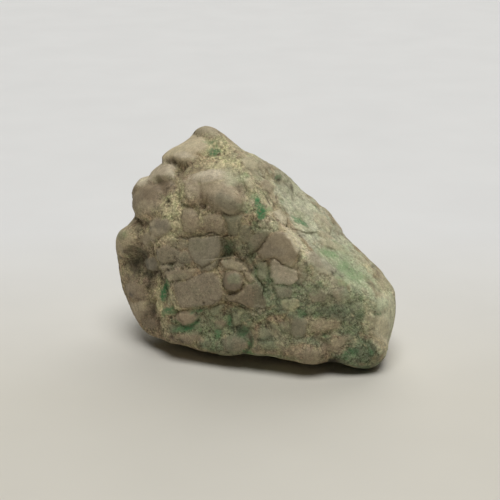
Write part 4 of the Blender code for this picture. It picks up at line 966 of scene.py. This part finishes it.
def rock_marks(at, ruffle):
    """Green, pale green, cream, and dirt with painted shade at each point, from 0 to 1.

    Each is the strongest of its torn patches, spots and lines; the dark part also fills joints and small
    pits with dirt, and hollows with painted shade, darker the deeper they sink. On the hidden side smooth
    noises stand in for the patches.
    """
    across, down = at.across, at.down

    def patches(spots):
        """The spots' cover on the show side, with torn edges."""
        return ragged_cover(spot_cover(across, down, spots), ruffle) * at.front

    veins = smooth_step(0.25, 0.60, smooth_noise(at.points, 15 * MM, 141) + ruffle * 0.5) * at.matrix
    green = np.maximum(patches(GREEN_SPOTS), 0.8 * veins * at.back)
    pale_veins = smooth_step(0.25, 0.7, smooth_noise(at.points, 17 * MM, 147) + ruffle * 0.5)
    pale_green = np.maximum(patches(PALE_GREEN_SPOTS), 0.6 * pale_veins * at.back)
    cream = np.maximum(patches(CREAM_SPOTS) * (1.0 - 0.8 * at.cover), 0.4 * at.matrix * at.back)
    # Pale spots and lines join the cream; one of them is a painted glint.
    light = np.maximum(spot_cover(across, down, LIGHT_SPOTS), line_cover(across, down, LIGHT_LINES))
    cream = np.maximum(cream, light * at.front)
    # Dark spots and lines: cracks and dirt, and painted shade in the crevice under the head, under the
    # brows and along shadow lines.
    dirt_and_shade = spot_cover(across, down, DARK_SPOTS) * (1.0 + ruffle)
    dirt_and_shade = np.maximum(dirt_and_shade, line_cover(across, down, DARK_LINES)) * at.front
    pits = smooth_step(0.50, 0.75, smooth_noise(at.points, 1.5 * MM, 203)) * at.matrix * (1.0 - at.chip)
    for other in (0.25 * np.clip(at.joint, 0.0, 1.0),
                  # Painted shade in hollows: darker the deeper the show side sinks.
                  0.35 * np.clip(-at.broad * at.facing / (2.4 * MM), 0.0, 1.0),
                  (0.3 + 0.65 * at.crumbly) * pits * (1.0 - 0.7 * at.slope)):
        dirt_and_shade = np.maximum(dirt_and_shade, other)
    return np.clip(np.stack([green, pale_green, cream, dirt_and_shade], axis=-1), 0.0, 1.0)


def stone_surface(settings):
    """The stone's points, faces, rock colour with smoothness, and marks.

    Each point lies along its ray at the broad form's distance plus the relief. The smoothness is
    that of clasts, chips and smooth places, less in the joints.
    """
    rays, quads = cube_grid(GRID_STEPS, GRID_PULL)
    at = survey_stone(rays)
    ruffle = 0.30 * smooth_noise(at.points, 2.4 * MM, 17) + 0.22 * smooth_noise(at.points, 1.0 * MM, 19)
    smoothness = np.maximum(at.plate, 0.40 * at.chip) * (1.0 - 0.6 * np.clip(at.joint, 0.0, 1.0))
    smoothness = np.maximum(smoothness, np.maximum(0.6 * at.slope, 0.9 * at.smooth))
    colour = np.concatenate([rock_colours(at, ruffle), smoothness[:, None]], axis=1)
    surface = at.points + rays * stone_relief(at, settings)[:, None]
    return stand_up(surface), quads, colour, rock_marks(at, ruffle)


def put_attribute(mesh, name, values):
    """Stores four numbers a point as a colour attribute."""
    layer = mesh.attributes.new(name, "FLOAT_COLOR", "POINT")
    layer.data.foreach_set("color", np.ascontiguousarray(values, dtype=np.float32).reshape(-1))


class NodeKit:
    """Adds shader nodes to one material."""

    def __init__(self, material):
        material.use_nodes = True
        self.tree = material.node_tree
        self.tree.nodes.clear()

    def node(self, kind, inputs=(), **settings):
        """Adds a node, sets its fields, and links or fills its inputs by name or number."""
        made = self.tree.nodes.new(kind)
        for field, value in settings.items():
            setattr(made, field, value)
        for key, value in dict(inputs).items():
            if isinstance(value, bpy.types.NodeSocket):
                self.tree.links.new(value, made.inputs[key])
            else:
                made.inputs[key].default_value = value
        return made

    def noise(self, where, size, detail=3.0, roughness=0.55):
        """Noise about size across, 0 to 1."""
        made = self.node("ShaderNodeTexNoise", {"Vector": where, "Scale": 1.0 / size, "Detail": detail,
                                                "Roughness": roughness})
        return made.outputs["Fac"]

    def ramp(self, value, low, high, to_low=0.0, to_high=1.0):
        """Maps low..high to to_low..to_high, clamped."""
        made = self.node("ShaderNodeMapRange", {"Value": value, "From Min": low, "From Max": high,
                                                "To Min": to_low, "To Max": to_high})
        return made.outputs["Result"]

    def math(self, operation, first, second=0.0):
        """One step of arithmetic on one or two values."""
        return self.node("ShaderNodeMath", {0: first, 1: second}, operation=operation).outputs[0]

    def times(self, first, second):
        """The product of two values."""
        return self.math("MULTIPLY", first, second)

    def thread(self, where, size):
        """1 along thin wandering lines, where a noise about size across crosses its middle value."""
        gap = self.math("ABSOLUTE", self.math("SUBTRACT", self.noise(where, size, 2.0, 0.5), 0.5))
        return self.ramp(gap, 0.0, 0.022, 1.0, 0.0)

    def mix(self, factor, first, second, mode="MIX"):
        """Mixes two colours by factor."""
        made = self.node("ShaderNodeMix", {0: factor, 6: first, 7: second},
                         data_type="RGBA", blend_type=mode)
        return made.outputs[2]

    def tint(self, first, second):
        """A colour times a shade or a second colour."""
        return self.mix(1.0, first, second, "MULTIPLY")


def rgba(colour):
    """A colour with full cover."""
    return (*colour, 1.0)


def rock_material(settings):
    """Weathered phosphate rock: the mesh's own colours, broken up by grain, crumbs, threads, and dirt with
    painted shade.

    The looseness at each point, 0 on a smooth clast and 1 in the loose matrix, says how much shows.
    """
    material = bpy.data.materials.new("breccia_rock_finish")
    kit = NodeKit(material)
    where = kit.node("ShaderNodeTexCoord").outputs["Object"]
    rock_source = kit.node("ShaderNodeAttribute", attribute_name="rock_colour")
    rock = rock_source.outputs["Color"]
    loose = kit.math("SUBTRACT", 1.0, rock_source.outputs["Alpha"])
    marks = kit.node("ShaderNodeAttribute", attribute_name="rock_marks")
    parts = kit.node("ShaderNodeSeparateColor", {"Color": marks.outputs["Color"]})
    green, pale_green, cream = parts.outputs
    dirt_and_shade = marks.outputs["Alpha"]

    def by_looseness(value, on_clasts, in_matrix):
        """A value times a share that runs from on_clasts to in_matrix."""
        return kit.times(value, kit.ramp(loose, 0.0, 1.0, on_clasts, in_matrix))

    grain = kit.noise(where, GRAIN_SIZE, 3.0, 0.65)
    speck = kit.noise(where, SPECK_SIZE, 2.0, 0.5)
    scatter = kit.noise(where, SCATTER_SIZE, 4.0, 0.7)
    crumbs = kit.node("ShaderNodeTexVoronoi", {"Vector": where, "Scale": 1.0 / FINE_CRUMB_SIZE})
    crumb_middle = crumbs.outputs["Distance"]
    crumb_shade = kit.ramp(crumb_middle, 0.15, 0.75, 1.18, 0.70)
    cracks = kit.node("ShaderNodeTexVoronoi", {"Vector": where, "Scale": 1.0 / CRACK_SIZE},
                      feature="DISTANCE_TO_EDGE")
    crack_shade = kit.ramp(cracks.outputs["Distance"], 0.01, 0.10, 0.64, 1.02)
    mottle = kit.ramp(kit.noise(where, 1.1 * MM, 4.0, 0.7), 0.3, 0.7, 0.86, 1.14)
    grain_shade = kit.math("ADD", 1.0, by_looseness(kit.ramp(grain, 0.35, 0.65, -0.24, 0.24), 0.60, 1.0))

    colour = kit.tint(rock, kit.ramp(kit.noise(where, PATCH_SIZE, 4.0, 0.6), 0.3, 0.7, 0.88, 1.12))
    colour = kit.tint(kit.tint(colour, mottle), grain_shade)
    tone = kit.ramp(kit.noise(where, 2.0 * MM, 4.0, 0.6), 0.36, 0.66, 0.66, 1.42)
    hue = kit.ramp(kit.noise(where, 3.1 * MM, 5.0, 0.7), 0.40, 0.60)
    hue_shade = kit.mix(hue, (0.92, 1.02, 0.88, 1.0), (1.08, 0.99, 1.0, 1.0))
    broken = colour
    for shade in (tone, hue_shade, crumb_shade, crack_shade):
        broken = kit.tint(broken, shade)
    colour = kit.mix(loose, colour, broken)

    dark_threads = by_looseness(kit.thread(where, 3.0 * MM), 0.25, 0.75)
    colour = kit.mix(dark_threads, colour, kit.tint(colour, (0.42, 0.38, 0.30, 1.0)))
    pale_threads = by_looseness(kit.thread(where, 2.3 * MM), 0.10, 0.80)
    colour = kit.mix(pale_threads, colour, kit.tint(rock, (1.6, 1.62, 1.6, 1.0)))
    chalk = by_looseness(kit.ramp(speck, 0.62, 0.70), 0.08, 0.75)
    colour = kit.mix(chalk, colour, kit.tint(rock, (1.55, 1.58, 1.55, 1.0)))
    for cover, breaks, whole, least, own_colour, shade in (
            (cream, speck, 0.56, 0.25, settings.cream, crumb_shade),
            (pale_green, scatter, 0.58, 0.30, settings.pale_green, grain_shade),
            (green, scatter, 0.54, 0.20, settings.deep_green, mottle)):
        shown = kit.times(cover, kit.ramp(breaks, 0.36, whole, least, 1.0))
        colour = kit.mix(shown, colour, kit.tint(rgba(own_colour), shade))
    pepper = by_looseness(kit.ramp(kit.noise(where, 0.9 * MM, 2.0, 0.5), 0.62, 0.70), 0.20, 0.75)
    colour = kit.mix(pepper, colour, kit.tint(colour, (0.35, 0.31, 0.24, 1.0)))
    # Dark marks: dirt in joints and pits, and painted shade in hollows, crevices and shadow lines.
    colour = kit.mix(kit.times(dirt_and_shade, kit.ramp(grain, 0.3, 0.65, 1.0, 0.75)), colour, rgba(settings.dirt_and_shade))

    height = kit.math("ADD", by_looseness(grain, 0.40, 1.0), by_looseness(crumb_middle, 0.0, -0.8))
    bump = kit.node("ShaderNodeBump", {"Height": height, "Strength": 0.7, "Distance": BUMP_HEIGHT})
    shader = kit.node("ShaderNodeBsdfPrincipled", {
        "Base Color": colour, "Roughness": kit.ramp(loose, 0.0, 1.0, 0.58, 0.90),
        "Normal": bump.outputs["Normal"], "Metallic": 0.0, "Specular IOR Level": 0.38})
    kit.node("ShaderNodeOutputMaterial", {"Surface": shader.outputs["BSDF"]})
    return material


class STONE_OT_build(bpy.types.Operator):
    """Build the stone over its plain solid"""

    bl_idname = "stone.build"
    bl_label = "Build stone"

    def execute(self, context):
        settings = context.scene.stone_settings
        points, quads, colour, marks = stone_surface(settings)
        mesh = bpy.data.meshes.new("breccia_stone")
        mesh.from_pydata(points.tolist(), [], quads.tolist())
        mesh.polygons.foreach_set("use_smooth", np.ones(len(mesh.polygons), dtype=bool))
        put_attribute(mesh, "rock_colour", colour)
        put_attribute(mesh, "rock_marks", marks)
        mesh.update()
        stone = bpy.data.objects.new("breccia_stone", mesh)
        context.scene.collection.objects.link(stone)
        mesh.materials.append(rock_material(settings))
        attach(stone, "root")
        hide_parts(NODE)
        return {"FINISHED"}


class STONE_OT_stage(bpy.types.Operator):
    """Set the floor, the lights and the camera"""

    bl_idname = "stone.stage"
    bl_label = "Set stage"

    def execute(self, context):
        settings = context.scene.stage_settings
        self.add_floor(context, settings)
        self.add_lights(context, settings)
        self.add_camera(context)
        context.scene.view_settings.view_transform = "Standard"
        return {"FINISHED"}

    def add_floor(self, context, settings):
        """A wide pale floor."""
        mesh = bpy.data.meshes.new("floor")
        corners = [(right * FLOOR_HALF, back * FLOOR_HALF, 0.0)
                   for right, back in ((-1, -1), (1, -1), (1, 1), (-1, 1))]
        mesh.from_pydata(corners, [], [(0, 1, 2, 3)])
        material = bpy.data.materials.new("pale_floor")
        kit = NodeKit(material)
        where = kit.node("ShaderNodeTexCoord").outputs["Object"]
        tone = kit.ramp(kit.noise(where, 0.05, 2.0, 0.5), 0.3, 0.7, 0.985, 1.015)
        away = kit.node("ShaderNodeSeparateXYZ", {0: where}).outputs[1]
        nearness = kit.ramp(away, -0.05, 0.13)
        colour = kit.mix(nearness, rgba(settings.floor_near), rgba(settings.floor_colour))
        shader = kit.node("ShaderNodeBsdfPrincipled", {
            "Base Color": kit.tint(colour, tone), "Roughness": 0.75, "Specular IOR Level": 0.2})
        kit.node("ShaderNodeOutputMaterial", {"Surface": shader.outputs["BSDF"]})
        mesh.materials.append(material)
        floor = bpy.data.objects.new("floor", mesh)
        context.scene.collection.objects.link(floor)

    def add_lights(self, context, settings):
        """One large soft light overhead, the glow of a bright wall behind, and an even fill."""
        self.add_soft_light(context, "key", KEY_WAY, settings.key_strength, settings.key_width)
        self.add_soft_light(context, "glow", GLOW_WAY, settings.glow_strength, settings.glow_width)
        world = bpy.data.worlds.new("soft_room")
        world.use_nodes = True
        background = world.node_tree.nodes["Background"]
        background.inputs["Color"].default_value = AIR_COLOUR
        background.inputs["Strength"].default_value = settings.fill_strength
        context.scene.world = world

    def add_soft_light(self, context, name, way, strength, width):
        """A wide, even light shining from one way on everything."""
        light = bpy.data.lights.new(name, "SUN")
        light.angle = width
        light.energy = strength
        light.color = LIGHT_COLOUR
        lamp = bpy.data.objects.new(name, light)
        lamp.location = Vector(way)
        lamp.rotation_euler = Vector(way).to_track_quat("Z", "Y").to_euler()
        context.scene.collection.objects.link(lamp)

    def add_camera(self, context):
        """A camera at the standpoint, aimed at the stone's inner centre."""
        target = Vector((ORIGIN_SHIFT[0], ORIGIN_SHIFT[1], CENTRE_HEIGHT))
        away = Vector((0.0, -math.cos(SIGHT_TILT), math.sin(SIGHT_TILT)))
        data = bpy.data.cameras.new("camera")
        data.sensor_width = SENSOR_WIDTH
        data.lens = SENSOR_WIDTH * SIGHT_DISTANCE / (PICTURE_STEPS * UNIT)
        data.shift_x = 0.5 - MIDDLE[0] / PICTURE_STEPS
        data.shift_y = MIDDLE[1] / PICTURE_STEPS - 0.5
        data.clip_start = 0.01
        camera = bpy.data.objects.new("camera", data)
        camera.location = target + away * SIGHT_DISTANCE
        camera.rotation_euler = (-away).to_track_quat("-Z", "Y").to_euler()
        context.scene.collection.objects.link(camera)
        context.scene.camera = camera


class STONE_PT_panel(bpy.types.Panel):
    """Stone tools in the 3D view's sidebar"""

    bl_idname = "STONE_PT_panel"
    bl_label = "Stone"
    bl_space_type = "VIEW_3D"
    bl_region_type = "UI"
    bl_category = "Stone"

    def draw(self, context):
        for operator in OPERATORS:
            self.layout.operator(operator.bl_idname)
        for group in (context.scene.stone_settings, context.scene.stage_settings):
            for name in group.__annotations__:
                self.layout.prop(group, name)


OPERATORS = (STONE_OT_build, STONE_OT_stage)
CLASSES = (StoneSettings, StageSettings, *OPERATORS, STONE_PT_panel)


def register():
    """Adds the classes and hangs both groups of settings on the scene."""
    for item in CLASSES:
        bpy.utils.register_class(item)
    bpy.types.Scene.stone_settings = bpy.props.PointerProperty(type=StoneSettings)
    bpy.types.Scene.stage_settings = bpy.props.PointerProperty(type=StageSettings)


def unregister():
    """Takes away all that register adds."""
    del bpy.types.Scene.stage_settings
    del bpy.types.Scene.stone_settings
    for item in reversed(CLASSES):
        bpy.utils.unregister_class(item)


def main():
    """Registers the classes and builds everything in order."""
    register()
    bpy.ops.stone.build()
    bpy.ops.stone.stage()


if __name__ == "__main__":
    main()
